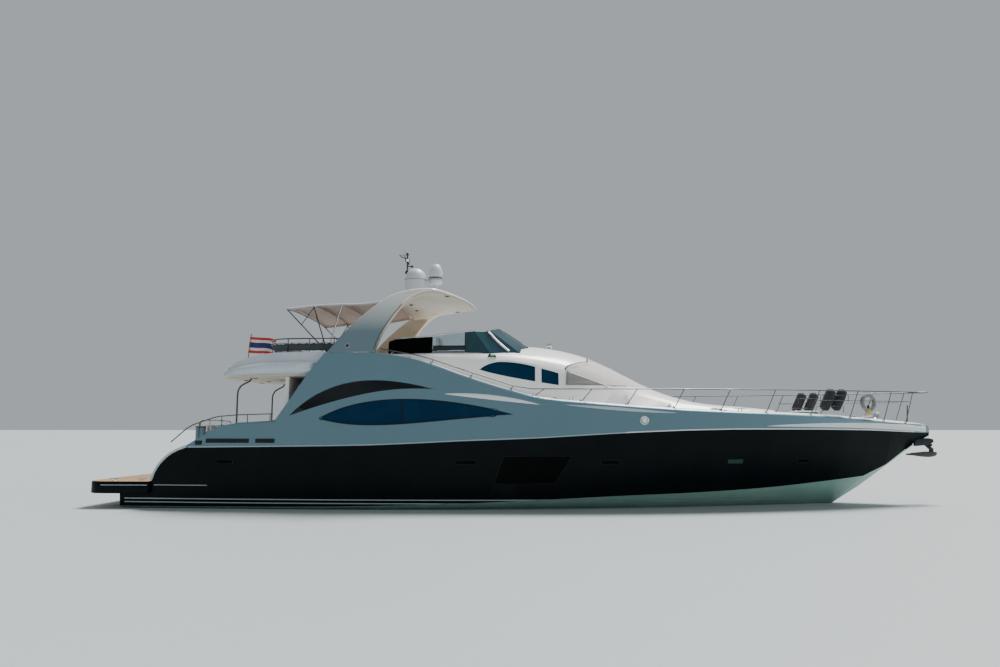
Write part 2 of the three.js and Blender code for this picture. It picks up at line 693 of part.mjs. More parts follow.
// Where the flybridge and the cabin roof stand, the moulding is open.
function upperSpace() {
  const plan = [
    [-7080, -2300],
    [-4420, -2300],
    [-4420, -2060],
    [900, -1980],
    [2400, -1720],
    [CABIN_FORE_X, -1480],
  ];
  return raised(shapeOf(mirroredPlan(plan)), 1500, FAR);
}

// The foredeck locker: a raised rim round a well, closed by a lid.
function hatchRim() {
  const { x0, x1, halfY, topZ } = HATCH;
  return box(x0, x1, -halfY, halfY, topZ - 300, topZ);
}

function hatchWell() {
  const { x0, x1, halfY, rim, floorZ } = HATCH;
  return box(x0 + rim, x1 - rim, rim - halfY, halfY - rim, floorZ, FAR);
}

function makeHatch() {
  const { x0, x1, halfY, topZ, lid, clear } = HATCH;
  const bottom = topZ + clear;
  const plate = box(x0 - 20, x1 + 20, -halfY - 20, halfY + 20, bottom, bottom + lid);
  const handle = box(x0 + 40, x0 + 70, -90, 90, bottom + lid - 5, bottom + lid + 28);
  return plate.add(handle);
}

function makeSuperstructure(sideForm) {
  const aft = shapeOf([[-14000, 2650], ...SIDE_AFT_EDGE, [-5960, FAR], [-14000, FAR]]);
  const louvreCut = slice(sideY, LOUVRE, [-200, 60], [-7200, -2400], [2500, 4300]);
  return without(sideForm.add(hatchRim()), [
    saloonSpace(),
    upperSpace(),
    hatchWell(),
    box(-11000, SALOON_AFT_X, -COCKPIT_HALF_Y, COCKPIT_HALF_Y, 1000, FAR),
    box(SALOON_AFT_X - 10, SALOON_AFT_X + 180, -2300, 2300, 1000, FAR),
    acrossY(aft),
    acrossY(EYE, -FAR, FAR, WINDOW_SEGMENTS),
    ...bothSides(louvreCut),
  ]);
}

// Cabin roof: a shell with side windows and a windscreen opening, running out into the foredeck trunk.

function roofForm(depth, fromX, toX, skirt = 0) {
  const xs = [fromX, ...ROOF.map((row) => row.x).filter((x) => x > fromX + 1 && x < toX - 1), toX];
  return loft(
    xs.map((x) => {
      const footY = at(ROOF, "footY", x) - depth;
      const shoulderY = at(ROOF, "shoulderY", x) - depth;
      const shoulderZ = at(ROOF, "shoulderZ", x) - depth;
      const crownZ = at(ROOF, "crownZ", x) - depth;
      const foot = Math.min(at(LINES, "topZ", x) - 40, shoulderZ - 60);
      const over = (share) => [-shoulderY * share, shoulderZ + (crownZ - shoulderZ) * (1 - share ** 2.5)];
      const low = [-shoulderY - (footY - shoulderY) * 0.2, shoulderZ - (shoulderZ - foot) * 0.2];
      return {
        x,
        points: mirrored([
          [0, foot - skirt],
          [-footY, foot - skirt],
          ...roundedCorner(low, [-shoulderY, shoulderZ], over(0.86), 3),
          over(0.64),
          over(0.32),
          [0, crownZ],
        ]),
      };
    }),
  );
}

const FLY_WELL = [[-5000, -1840], [-1200, -1840], [-650, -1560], [-350, -900], [-300, 0]];

function makeCabinRoof(superstructure) {
  const shell = without(roofForm(0, -4300, 8100), [
    roofForm(90, -4400, 4050, 500),
    raised(shapeOf(mirroredPlan(FLY_WELL)), 3800, FAR),
    acrossY(CABIN_WINDOW_AFT),
    acrossY(CABIN_WINDOW_FORE),
    acrossY(WINDSCREEN),
  ]);
  return clearOf(shell, superstructure);
}

// A pane set into the roof's skin.
function roofPane(outline, fromX, toX, yLimit) {
  const skin = roofForm(24, fromX, toX).subtract(roofForm(24 + PANE, fromX - 100, toX + 100, 500));
  return skin.intersect(acrossY(inset(outline, 4), -FAR, yLimit));
}

// Flybridge moulding, from the aft overhang to the helm.

// Its section from the underside up: a rounded lip, and the coaming set in above it.
const FLY_SECTION = [
  [0.93, 0],
  [0.975, 0.06],
  [0.995, 0.22],
  [1, 0.4],
  [0.99, 0.52],
  [0.965, 0.6],
  [0.935, 0.64],
  [0.925, 1],
];

function makeFlybridge() {
  const aft = loft(
    FLY.map(({ x, halfY, bottomZ, topZ }) => ({
      x,
      points: mirrored([
        [0, bottomZ],
        ...FLY_SECTION.map(([out, up]) => [-halfY * out, bottomZ + up * (topZ - bottomZ)]),
        [0, topZ],
      ]),
    })),
  );
  const legSide = shapeOf([...SIDE_AFT_EDGE, [-5960, FAR], [0, FAR], [0, 2650]].map(([x, z]) => [x - 4, z]));
  const tubEdge = FLY_WELL.map(([x, y]) => [Math.max(x - 12, -4500), y === 0 ? 0 : y + 12]);
  const tubPlan = raised(shapeOf(mirroredPlan(tubEdge)), FLY_UNDERSIDE, FAR);
  const tubTop = roofForm(-40, -4600, 100).add(box(-4600, 100, -FAR, FAR, 3000, 4400));
  const wellAft = [
    [-9200, 0],
    [-9150, -800],
    [-8950, -1400],
    [-8600, -1880],
    [-8150, -2120],
    [-4620, -2150],
    [-4620, -1680],
    [-1300, -1680],
  ];
  const wellFore = [[-820, -1430], [-560, -820], [-520, 0]];
  const body = joined([
    aft.subtract(joined(bothSides(acrossY(legSide, -FAR, -2292)))),
    box(-5800, -4440, -2290, 2290, FLY_UNDERSIDE, FLY_TOP),
    tubPlan.intersect(tubTop),
  ]);
  return without(body, [
    raised(shapeOf(mirroredPlan([...wellAft, ...wellFore])), FLY_SOLE, FAR),
    box(-7900, -7180, 1340, 2060, 3000, FAR),
  ]);
}

// Glass round the front of the flybridge: it leans in and back as it rises.
function makeFlyScreen(flybridge) {
  const base = [[-4150, -1900], [-900, -1900], [100, -1650], [760, -850], [900, 0]];
  const crest = [[-4150, -1780], [-1650, -1740], [-1250, -1400], [-800, -740], [-710, 0]];
  const ring = (points, inset) =>
    mirroredPlan(points.map(([x, y]) => [x > -4000 ? x - inset : x, y === 0 ? 0 : y + inset]));
  const level = (inset, aftX) => [
    { z: 4600, points: ring(base, inset) },
    { z: 5650, points: ring(crest, inset) },
  ].map(({ z, points }) => ({ z, points: points.map(([x, y]) => [x < -4000 ? aftX : x, y]) }));
  const wall = stacked(level(0, -4150)).subtract(stacked(level(14, -4500)));
  const side = new THREE.Shape();
  side.moveTo(-4150, 4500);
  side.lineTo(-4150, 5020);
  side.quadraticCurveTo(-4100, 5150, -3900, 5160);
  side.lineTo(-2740, 5240);
  side.quadraticCurveTo(-1900, 5400, -1100, 5420);
  side.lineTo(-780, 5600);
  side.lineTo(500, 5640);
  side.lineTo(500, 4500);
  const roofBelow = roofForm(-1, -4400, 8100, 300);
  return mainBody(clearOf(wall.intersect(acrossY(side)).subtract(roofBelow), flybridge));
}

// Radar arch: two raked legs that sweep into a hardtop with a rounded front.

// Side view of a leg and the roof's edge, up its aft side and back down its fore side.
const ARCH_OUTER = [
  [-5960, ARCH_FOOT_Z - 50],
  [-5480, 5220],
  [-4960, 5750],
  [-4560, 6090],
  [-4230, 6340],
  [-3900, 6520],
  [-3400, 6640],
  [-2900, 6665],
  [-2300, 6620],
  [-1800, 6510],
  [-1400, 6370],
];
const ARCH_INNER = [
  [-1400, 6290],
  [-1800, 6440],
  [-2300, 6550],
  [-2900, 6550],
  [-3310, 6410],
  [-3620, 6150],
  [-3920, 5770],
  [-4260, 5180],
  [-4470, ARCH_FOOT_Z - 50],
];
const ARCH_LEG = { thick: 300, lowZ: 4500, highZ: 6800 };
const ARCH_ROOF_HALF_Y = 2280;
// Side view of the roof between the legs, forward along its top and back along its underside.
const ARCH_ROOF_TOP = [
  [-4100, 6420],
  [-3850, 6540],
  [-3400, 6650],
  [-2900, 6690],
  [-2300, 6645],
  [-1800, 6530],
  [-1400, 6370],
];
const ARCH_ROOF_UNDER = [
  [-1400, 6290],
  [-1800, 6440],
  [-2300, 6535],
  [-2900, 6560],
  [-3400, 6510],
  [-4040, 6340],
];
// Half of the front edge, seen from above.
const ARCH_NOSE = [
  [-2900, -3200],
  [-2750, -2500],
  [-2450, -2050],
  [-2120, -1550],
  [-1780, -950],
  [-1580, -400],
  [-1530, 0],
];
const ARCH_COVE = { y: -1850, z: 6180, radius: 260 };

const splineThrough = (points) => new THREE.SplineCurve(points.map((p) => new THREE.Vector2(...p)));

function makeArch(superstructure) {
  const leg = new THREE.Shape([
    ...splineThrough(ARCH_OUTER).getPoints(34),
    ...splineThrough(ARCH_INNER).getPoints(30),
  ]);
  const { thick, lowZ, highZ } = ARCH_LEG;
  const rings = [-6000, -4430, -1300].map((x) => ({
    x,
    points: [
      [-(sideY(x, lowZ) - thick), lowZ],
      [-sideY(x, lowZ), lowZ],
      [-sideY(x, highZ), highZ],
      [-(sideY(x, highZ) - thick), highZ],
    ],
  }));
  const legSolid = loft(rings).intersect(acrossY(leg, -FAR, 0));
  const top = new THREE.Shape([
    ...splineThrough(ARCH_ROOF_TOP).getPoints(18),
    ...splineThrough(ARCH_ROOF_UNDER).getPoints(16),
  ]);
  const roof = acrossY(top, -ARCH_ROOF_HALF_Y, ARCH_ROOF_HALF_Y);
  // A hollow curve joins each leg to the roof.
  const { y, z, radius } = ARCH_COVE;
  const hollow = cylinder(radius, 3000, "x", [-3300, y, z], 32);
  const cove = box(-4300, -2300, -2200, y, z, z + radius + 120).subtract(hollow);
  const coved = cove.intersect(acrossY(leg, -FAR, 0).add(acrossY(top, -FAR, 0)));
  const plan = splineThrough(ARCH_NOSE).getPoints(24);
  const outline = mirroredPlan([[-6500, -3200], ...plan.map((p) => [p.x, p.y])]);
  const nose = raised(shapeOf(outline), 4000, FAR);
  const whole = joined([...[legSolid, coved].flatMap(bothSides), roof]).intersect(nose);
  return clearOf(whole, superstructure);
}

// Stands a piece on the arch, its foot cut to the curve of the roof.
const onArch = (solid, arch, x, y, z) => mainBody(clearOf(moved(solid, x, y, z), arch));

function makeDome() {
  const radius = 375;
  const profile = [[0, -420], [radius - 60, -420], [radius - 40, 60], [radius, 160], [radius, 640]];
  for (const deg of [25, 45, 65]) {
    const a = THREE.MathUtils.degToRad(deg);
    profile.push([radius * Math.cos(a), 640 + radius * 1.1 * Math.sin(a)]);
  }
  profile.push([0, 640 + radius * 1.1]);
  return lathe(profile, 20, [0, 0, 0]);
}

function makeRadar() {
  const neck = [[0, -160], [150, -160], [150, 20], [60, 120], [60, 420], [150, 480], [0, 480]];
  const stand = lathe(neck, 14, [0, 0, 0]);
  const drum = lathe([[0, 470], [230, 480], [245, 560], [245, 640], [0, 642]], 16, [0, 0, 0]);
  const cap = lathe([[0, 640], [150, 641], [235, 700], [240, 900], [150, 1120], [0, 1180]], 16, [0, 0, 0]);
  return joined([stand, drum, cap]);
}

function makeMast() {
  return joined([
    cylinder(26, 2000, "z", [0, 0, 600], 8),
    cylinder(60, 470, "z", [0, 0, -205], 10),
    bar([0, -360, 1320], [0, 360, 1320], 14),
    bar([0, -340, 1320], [-60, -340, 1640], 11),
    bar([0, 340, 1320], [0, 340, 1560], 16),
    lathe([[0, 1580], [40, 1590], [48, 1640], [40, 1690], [0, 1700]], 10, [0, 0, 0]),
    bar([-20, 0, 1480], [-240, 0, 1560], 16),
  ]);
}

// Bimini: three bows on two side frames, and the canopy they carry.

// Rows across the canopy: its half width, and its height on the centreline. The first rows have a bow.
const BIMINI = [
  { x: -7330, halfY: 2110, z: 6200 },
  { x: -6500, halfY: 2100, z: 6310 },
  { x: -5600, halfY: 2080, z: 6350 },
  { x: -4900, halfY: 2020, z: 6350 },
  { x: -4450, halfY: 1970, z: 6440 },
  { x: -4140, halfY: 1930, z: 6500 },
];

const BIMINI_BOWS = BIMINI.slice(0, 3);

function makeBiminiFrame(flybridge) {
  const foot = [-5980, 2230, FLY_TOP - 10];
  const bows = BIMINI_BOWS.map(({ x, halfY, z }) => {
    const low = z - 70;
    const path = [[x, -halfY, low - 60], [x, -halfY * 0.5, low], [x, halfY * 0.5, low], [x, halfY, low - 60]];
    return bentBar(path, 17, 12);
  });
  const sides = [-1, 1].flatMap((s) => [
    ...BIMINI_BOWS.map(({ x, halfY, z }) => bar([foot[0], s * foot[1], foot[2]], [x, s * halfY, z - 130], 18)),
    bar([-6860, s * 2165, 5550], [-6470, s * 2080, 6160], 14),
    cylinder(60, 60, "z", [foot[0], s * foot[1], foot[2] + 20], 10),
  ]);
  return clearOf(joined([...bows, ...sides]), flybridge);
}

function makeBiminiCanopy() {
  const thick = 12;
  const rings = BIMINI.map(({ x, halfY, z }) => ({
    x,
    points: mirrored([
      [0, z - thick],
      [-halfY * 0.6, z - 20 - thick],
      [-halfY, z - 90 - thick],
      [-halfY, z - 90],
      [-halfY * 0.6, z - 20],
      [0, z],
    ]),
  }));
  return loft(rings);
}

// Rails

const BOW_STANCHIONS = [700, 2100, 3430, 4830, 6230, 7650, 9100, 10450, 11700, 12550];
const SLOPE_RAIL = [
  { x: -4250, z: 4760 },
  { x: -3000, z: 4540 },
  { x: -1800, z: 4130 },
  { x: -750, z: 3790 },
  { x: 50, z: 3530 },
];

const railY = (x) => Math.max(topY(x) - 75, 60);

function makeBowRail(superstructure) {
  const pieces = [];
  const level = [900, ...BOW_STANCHIONS.slice(1)];
  for (const side of [-1, 1]) {
    const path = [
      ...SLOPE_RAIL.map(({ x, z }) => [x, side * railY(x), z]),
      ...level.map((x) => [x, side * railY(x - RAIL.rake / 2), RAIL.height]),
      [13050, side * 170, RAIL.height],
    ];
    pieces.push(bentBar(path, RAIL.tube, 34, 6, 0));
    const middle = [9100, 10450, 11700, 12550].map((x) => [x - 170, side * railY(x - 250), 3215]);
    pieces.push(bentBar(middle, 12, 8, 6, 0));
    for (const x of [-3900, -2700, -1500, -300]) {
      const foot = [x, side * railY(x), at(LINES, "topZ", x) - 40];
      pieces.push(bar(foot, [x + 70, side * railY(x + 70), at(SLOPE_RAIL, "z", x + 70)], RAIL.post));
    }
    for (const x of BOW_STANCHIONS) {
      const footX = x - RAIL.rake;
      const foot = [footX, side * railY(footX), at(LINES, "topZ", footX) - 40];
      const headY = side * railY(x - RAIL.rake / 2);
      pieces.push(bar(foot, [x, headY, RAIL.height], RAIL.post));
    }
  }
  pieces.push(bar([13050, -190, RAIL.height], [13050, 190, RAIL.height], RAIL.tube));
  return clearOf(joined(pieces), superstructure);
}

function makeAftRail(superstructure) {
  const path = [[-10560, 1960], [-10010, 2440], [-9170, 2720], [-8500, 2770], [-7420, 2800]];
  const points = path.map(([x, z]) => [x, -(sideY(Math.max(x, -10000), 2500) - 120), z]);
  const posts = [-9700, -9000, -8200, -7500].map((x) => {
    const y = -(sideY(x, 2500) - 120);
    const rows = path.map(([px, pz]) => ({ x: px, z: pz }));
    return bar([x, y, at(LINES, "topZ", x) - 30], [x, y, at(rows, "z", x)], 12);
  });
  return clearOf(joined([bentBar(points, 18, 16, 6, 0), ...posts]), superstructure);
}

const FLY_RAIL = [[-6450, -2330], [-7300, -2290], [-7800, -1950], [-8040, -1250], [-8080, 0]];

function makeFlyRail(flybridge) {
  const height = 5120;
  const plan = mirroredPlan(FLY_RAIL);
  const top = bentBar(plan.map(([x, y]) => [x, y, height]), 20, 30);
  const posts = [[-6520, -2326], [-7200, -2290], [-7965, -1500], [-8080, -300]].flatMap(([x, y]) => [
    bar([x, y, FLY_SOLE - 40], [x, y, height], 14),
    bar([x, -y, FLY_SOLE - 40], [x, -y, height], 14),
  ]);
  const lower = bentBar(plan.map(([x, y]) => [x, y, 4980]), 10, 30);
  return clearOf(joined([top, lower, ...posts]), flybridge);
}

// Cockpit, saloon and helm

function makeStairs() {
  const treads = Array.from({ length: 9 }, (_, i) => {
    const z = COCKPIT_SOLE + 240 * (i + 1);
    const x = -8460 + 95 * i;
    return box(x, x + 230, 1400, 2000, z - 35, z);
  });
  const foot = COCKPIT_SOLE + GAP;
  const side = shapeOf([[-8420, foot], [-8200, foot], [-7260, 4080], [-7480, 4080]]);
  return joined([...treads, acrossY(side, 1370, 1405), acrossY(side, 1995, 2030)]);
}

function seat(length, depth, height, backHeight) {
  const side = new THREE.Shape();
  side.moveTo(0, 0);
  side.lineTo(depth, 0);
  side.lineTo(depth, height);
  side.lineTo(260, height);
  side.lineTo(180, backHeight);
  side.lineTo(0, backHeight);
  return acrossY(side, -length / 2, length / 2);
}

function makeTable(halfX, halfY, height) {
  const plan = new THREE.Shape();
  const r = 150;
  plan.moveTo(-halfX + r, -halfY);
  plan.lineTo(halfX - r, -halfY);
  plan.quadraticCurveTo(halfX, -halfY, halfX, -halfY + r);
  plan.lineTo(halfX, halfY - r);
  plan.quadraticCurveTo(halfX, halfY, halfX - r, halfY);
  plan.lineTo(-halfX + r, halfY);
  plan.quadraticCurveTo(-halfX, halfY, -halfX, halfY - r);
  plan.lineTo(-halfX, -halfY + r);
  plan.quadraticCurveTo(-halfX, -halfY, -halfX + r, -halfY);
  const head = height - 20;
  const profile = [[0, 0], [260, 0], [240, 30], [70, 60], [60, height - 60], [160, head], [0, head]];
  const foot = lathe(profile, 14, [0, 0, 0]);
  return joined([raised(plan, height - 40, height, 4), foot]);
}

// Turns a piece built round +Z so that +Z points forward and down along the wheel's column.
function onColumn(solid) {
  return reshaped(solid, (g) => {
    g.rotateY(THREE.MathUtils.degToRad(90 + HELM.tiltDeg));
    g.translate(HELM.wheelX, HELM.y, HELM.wheelZ);
  });
}

function makeWheel() {
  const radius = HELM.wheelRadius;
  const rim = new THREE.TorusGeometry(radius, 16, 6, 20);
  const spokes = [0, 1, 2].map((i) => {
    const a = (2 * Math.PI * i) / 3 + Math.PI;
    return bar([0, 0, 20], [radius * Math.cos(a), radius * Math.sin(a), 0], 12);
  });
  const hub = cylinder(48, 50, "z", [0, 0, 20], 12);
  return onColumn(joined([solidOf(rim), hub, ...spokes]));
}

function makeHelmConsole() {
  const side = new THREE.Shape();
  side.moveTo(0, 0);
  side.lineTo(560, 0);
  side.lineTo(560, 880);
  side.lineTo(420, 1000);
  side.lineTo(60, 820);
  side.lineTo(0, 560);
  const desk = moved(acrossY(side, -620, 620), HELM.x, HELM.y, FLY_SOLE + GAP);
  return desk.add(onColumn(cylinder(40, 150, "z", [0, 0, 45 + RUN_CLEAR + 75], 12)));
}

function makeHelmSeat() {
  const side = new THREE.Shape();
  side.moveTo(-230, 560);
  side.lineTo(250, 560);
  side.lineTo(270, 660);
  side.lineTo(-90, 680);
  side.lineTo(-190, 1260);
  side.lineTo(-300, 1250);
  const shell = acrossY(side, -270, 270);
  const leg = lathe([[0, 0], [180, 0], [170, 25], [60, 50], [60, 570], [0, 570]], 12, [0, 0, 0]);
  return shell.add(leg);
}

function makeAftBulkhead() {
  const x = SALOON_AFT_X;
  const panel = box(x + 10, x + 130, -2290, 2290, SALOON_SOLE + GAP, FLY_UNDERSIDE - GAP);
  return panel.subtract(box(x - 10, x + 200, -1350, 1350, SALOON_SOLE + 30, 3720));
}

// The ensign flies forward from a staff on the aft coaming.

function makeStaff() {
  const foot = [STAFF.x, 0, STAFF.footZ];
  const head = [STAFF.x + STAFF.leanX, 0, STAFF.footZ + STAFF.length];
  return joined([bar(foot, head, STAFF.radius, 8), lathe([[0, -30], [26, -12], [26, 12], [0, 30]], 8, head)]);
}

function makeEnsign() {
  const luffX = (z) => STAFF.x + ((z - STAFF.footZ) * STAFF.leanX) / STAFF.length + STAFF.radius + GAP * 2;
  const { length, hoist, topZ, thick } = ENSIGN;
  const low = topZ - hoist;
  const outline = shapeOf([
    [luffX(low), low],
    [luffX(low) + length, low - 60],
    [luffX(topZ) + length, topZ - 60],
    [luffX(topZ), topZ],
  ]);
  return acrossY(outline, -thick / 2, thick / 2);
}

// Foredeck gear

function makeWindlass() {
  const profile = [[0, 0], [120, 0], [120, 40], [70, 70], [62, 150], [95, 190], [95, 215], [0, 215]];
  const drum = lathe(profile, 14, [0, 0, 0]);
  const motor = box(-260, -60, -90, 90, 0, 130);
  return drum.add(motor);
}

function makeAnchor() {
  const shank = box(ANCHOR_POCKET_X + 20, 13120, -28, 28, 1890, 1960);
  const fluke = new THREE.Shape();
  fluke.moveTo(13300, 1700);
  fluke.lineTo(13080, 1990);
  fluke.lineTo(12960, 1990);
  fluke.lineTo(12600, 1480);
  fluke.lineTo(12760, 1440);
  fluke.lineTo(12980, 1640);
  return joined([shank, acrossY(fluke, -190, 190)]);
}

function makeFenderRack() {
  const x0 = 9330;
  const y = -(railY(9700) - 150);
  const fenders = [0, 1].map((i) => {
    const foot = [x0 + i * 380, y + i * 95, 2905];
    const head = [x0 + i * 380 + 300, y + i * 95, 3560];
    return bar(foot, head, 140, 12);
  });
  const hoops = [3050, 3380].map((z) => box(x0 - 60, x0 + 800, y - 40, y + 140, z, z + 26));
  return joined([...fenders, ...hoops]);
}

// Everything in its place

const hullForm = makeHullForm();
const superstructure = makeSuperstructure(makeSideForm());
const cabinRoof = makeCabinRoof(superstructure);
const flybridge = makeFlybridge();
const deckZ = (x) => at(LINES, "topZ", x) + DECK_CROWN + GAP;

const hullGroup = subAssembly();
add(hullGroup, "hull", makeHull(hullForm), "black");
add(hullGroup, "swim_platform", makePlatform(), "black");
add(hullGroup, "garage_door", makeGarageDoor(), "silver");
const hullPane = slice(topsideY, HULL_WINDOW, [6, 34 - GAP], [-900, 1600], [650, 1680]);
addPair(hullGroup, "hull_window", hullPane, "glass");
addPair(hullGroup, "engine", box(ENGINE.x0, ENGINE.x1, -ENGINE.y1, -ENGINE.y0, ENGINE.z0, ENGINE.z1), "iron");

const runningGear = subAssembly();
addPair(runningGear, "propeller", makePropeller(), "bronze");
addPair(runningGear, "shaft", makeShaft(), "steel");
addPair(runningGear, "strut", makeStrut(hullForm), "bronze");
addPair(runningGear, "rudder", makeRudder(), "bronze");

const upperWorks = subAssembly();
add(upperWorks, "superstructure", superstructure, "silver");
add(upperWorks, "cabin_roof", cabinRoof, "white");
add(upperWorks, "flybridge", flybridge, "silver");
const arch = makeArch(superstructure);
add(upperWorks, "radar_arch", arch, "silver");
const eyePane = slice(sideY, inset(EYE, 4, WINDOW_SEGMENTS), [18, 18 + PANE], [-6000, -150], [2300, 3400]);
addPair(upperWorks, "eye_window", eyePane, "glass");
const louvrePanel = slice(sideY, inset(LOUVRE, 5, WINDOW_SEGMENTS), [28, 58], [-7000, -2450], [2600, 4200]);
addPair(upperWorks, "louvre", louvrePanel, "rubber");
addPair(upperWorks, "cabin_window_aft", roofPane(CABIN_WINDOW_AFT, -1400, 600, -1000), "glass");
addPair(upperWorks, "cabin_window_fore", roofPane(CABIN_WINDOW_FORE, 500, 1300, -1000), "glass");
add(upperWorks, "windscreen", roofPane(WINDSCREEN, 1350, 4100, FAR), "glass");
add(upperWorks, "fly_screen", makeFlyScreen(flybridge), "glass");
add(upperWorks, "aft_bulkhead", makeAftBulkhead(), "white");
const leaf = (y0, y1, x) => box(x, x + 30, y0, y1, SALOON_SOLE + 40, 3710);
add(upperWorks, "fixed_door", leaf(10, 1340, SALOON_AFT_X + 85), "glass");
add(upperWorks, "saloon_door", leaf(-1340, 60, SALOON_AFT_X + 35), "glass");

const archGear = subAssembly();
add(archGear, "satellite_dome", onArch(makeDome(), arch, -3630, 0, 6760), "white");
add(archGear, "radar", onArch(makeRadar(), arch, -2950, 0, 6790), "white");
add(archGear, "mast", onArch(makeMast(), arch, -4020, 500, 6790), "steel");
add(archGear, "bimini_frame", makeBiminiFrame(flybridge), "steel");
add(archGear, "bimini_canopy", makeBiminiCanopy(), "canvas");

const rails = subAssembly();
add(rails, "bow_rail", makeBowRail(superstructure), "steel");
addPair(rails, "aft_rail", makeAftRail(superstructure), "steel");
add(rails, "fly_rail", makeFlyRail(flybridge), "steel");
const pole = [
  [-9010, 0, COCKPIT_SOLE + GAP],
  [-9020, 0, 3300],
  [-9010, 0, 3550],
  [-8890, 0, 3740],
  [-8680, 0, 3830],
  [-8560, 0, FLY_UNDERSIDE + 30],
];
const poleSolid = bentBar(pole, 28, 16, 8).subtract(box(-FAR, 0, -FAR, FAR, FLY_UNDERSIDE - GAP, FAR));
addPair(rails, "overhang_pole", poleSolid, "steel", [0, -1560, 0]);
add(rails, "jackstaff", bar([0, 0, 0], [40, 0, 520], 20, 8), "steel", [12450, 0, deckZ(12300) + 6]);

const cockpit = subAssembly();
add(cockpit, "transom_coaming", box(-10440, -10130, -1340, 1340, COCKPIT_SOLE + GAP, 2420), "silver");
add(cockpit, "cockpit_sofa", seat(2600, 820, 430, 800), "cushion", [-10120, 0, COCKPIT_SOLE + GAP]);
add(cockpit, "cockpit_table", makeTable(420, 800, 720), "teak", [-8300, -300, COCKPIT_SOLE + GAP]);
add(cockpit, "fly_stairs", makeStairs(), "teak");

const flyGear = subAssembly();
const flyZ = FLY_SOLE + GAP;
add(flyGear, "fly_console", makeHelmConsole(), "white");
add(flyGear, "fly_wheel", makeWheel(), "rubber");
add(flyGear, "fly_seat", makeHelmSeat(), "cushion", [-2500, -700, flyZ]);
add(flyGear, "fly_sofa", seat(2600, 800, 430, 820), "cushion", [-7400, -700, flyZ]);
add(flyGear, "fly_table", makeTable(450, 700, 680), "teak", [-5900, -300, flyZ]);
add(flyGear, "ensign_staff", clearOf(makeStaff(), flybridge), "teak");
add(flyGear, "ensign", makeEnsign(), "canvas");

const foredeck = subAssembly();
add(foredeck, "windlass", makeWindlass(), "steel", [11500, 0, deckZ(11240)]);
add(foredeck, "anchor", makeAnchor(), "steel");
add(foredeck, "foredeck_hatch", makeHatch(), "white");
addPair(foredeck, "fender_rack", makeFenderRack(), "rubber");

export default yacht;
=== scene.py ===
"""The looks of a 26 m flybridge motor yacht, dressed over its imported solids.

Metres. +X is the bow, +Y is port, +Z is up, and the water's surface is at Z = 0.
"""

from __future__ import annotations

import logging
import math
from collections.abc import Callable, Iterable, Sequence
from dataclasses import dataclass
from enum import Enum
from functools import cache

import bmesh
import bpy
from mathutils import Matrix, Vector
from mathutils.bvhtree import BVHTree
from mathutils.geometry import interpolate_bezier


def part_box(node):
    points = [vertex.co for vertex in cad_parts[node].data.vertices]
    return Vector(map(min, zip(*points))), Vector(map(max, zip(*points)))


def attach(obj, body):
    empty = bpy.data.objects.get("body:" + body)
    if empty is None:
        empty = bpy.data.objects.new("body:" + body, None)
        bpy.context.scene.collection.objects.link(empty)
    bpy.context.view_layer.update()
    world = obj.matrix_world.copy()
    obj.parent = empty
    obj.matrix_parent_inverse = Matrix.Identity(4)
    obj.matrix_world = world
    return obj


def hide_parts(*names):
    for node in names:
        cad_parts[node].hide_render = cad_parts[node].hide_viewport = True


Point = tuple[float, float, float]
Colour = tuple[float, float, float]
Mesh = bmesh.types.BMesh
Node = bpy.types.Node
Socket = bpy.types.NodeSocket
Run = Sequence[tuple[float, float]]
Table = tuple[tuple[float, float], ...]

log = logging.getLogger("yacht")
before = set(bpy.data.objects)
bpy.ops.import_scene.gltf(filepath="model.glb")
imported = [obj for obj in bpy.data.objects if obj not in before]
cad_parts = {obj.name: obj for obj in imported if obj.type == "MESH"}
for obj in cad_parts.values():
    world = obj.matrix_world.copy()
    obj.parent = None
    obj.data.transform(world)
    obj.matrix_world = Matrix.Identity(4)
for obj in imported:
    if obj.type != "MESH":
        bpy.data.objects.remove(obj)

SIDES = (-1, 1)  # starboard, port
SIDE_NAMES = {-1: "starboard", 1: "port"}


class Bend(Enum):
    """How a tube runs through its points."""

    SMOOTH = "BEZIER"
    STRAIGHT = "POLY"


# Shader helpers


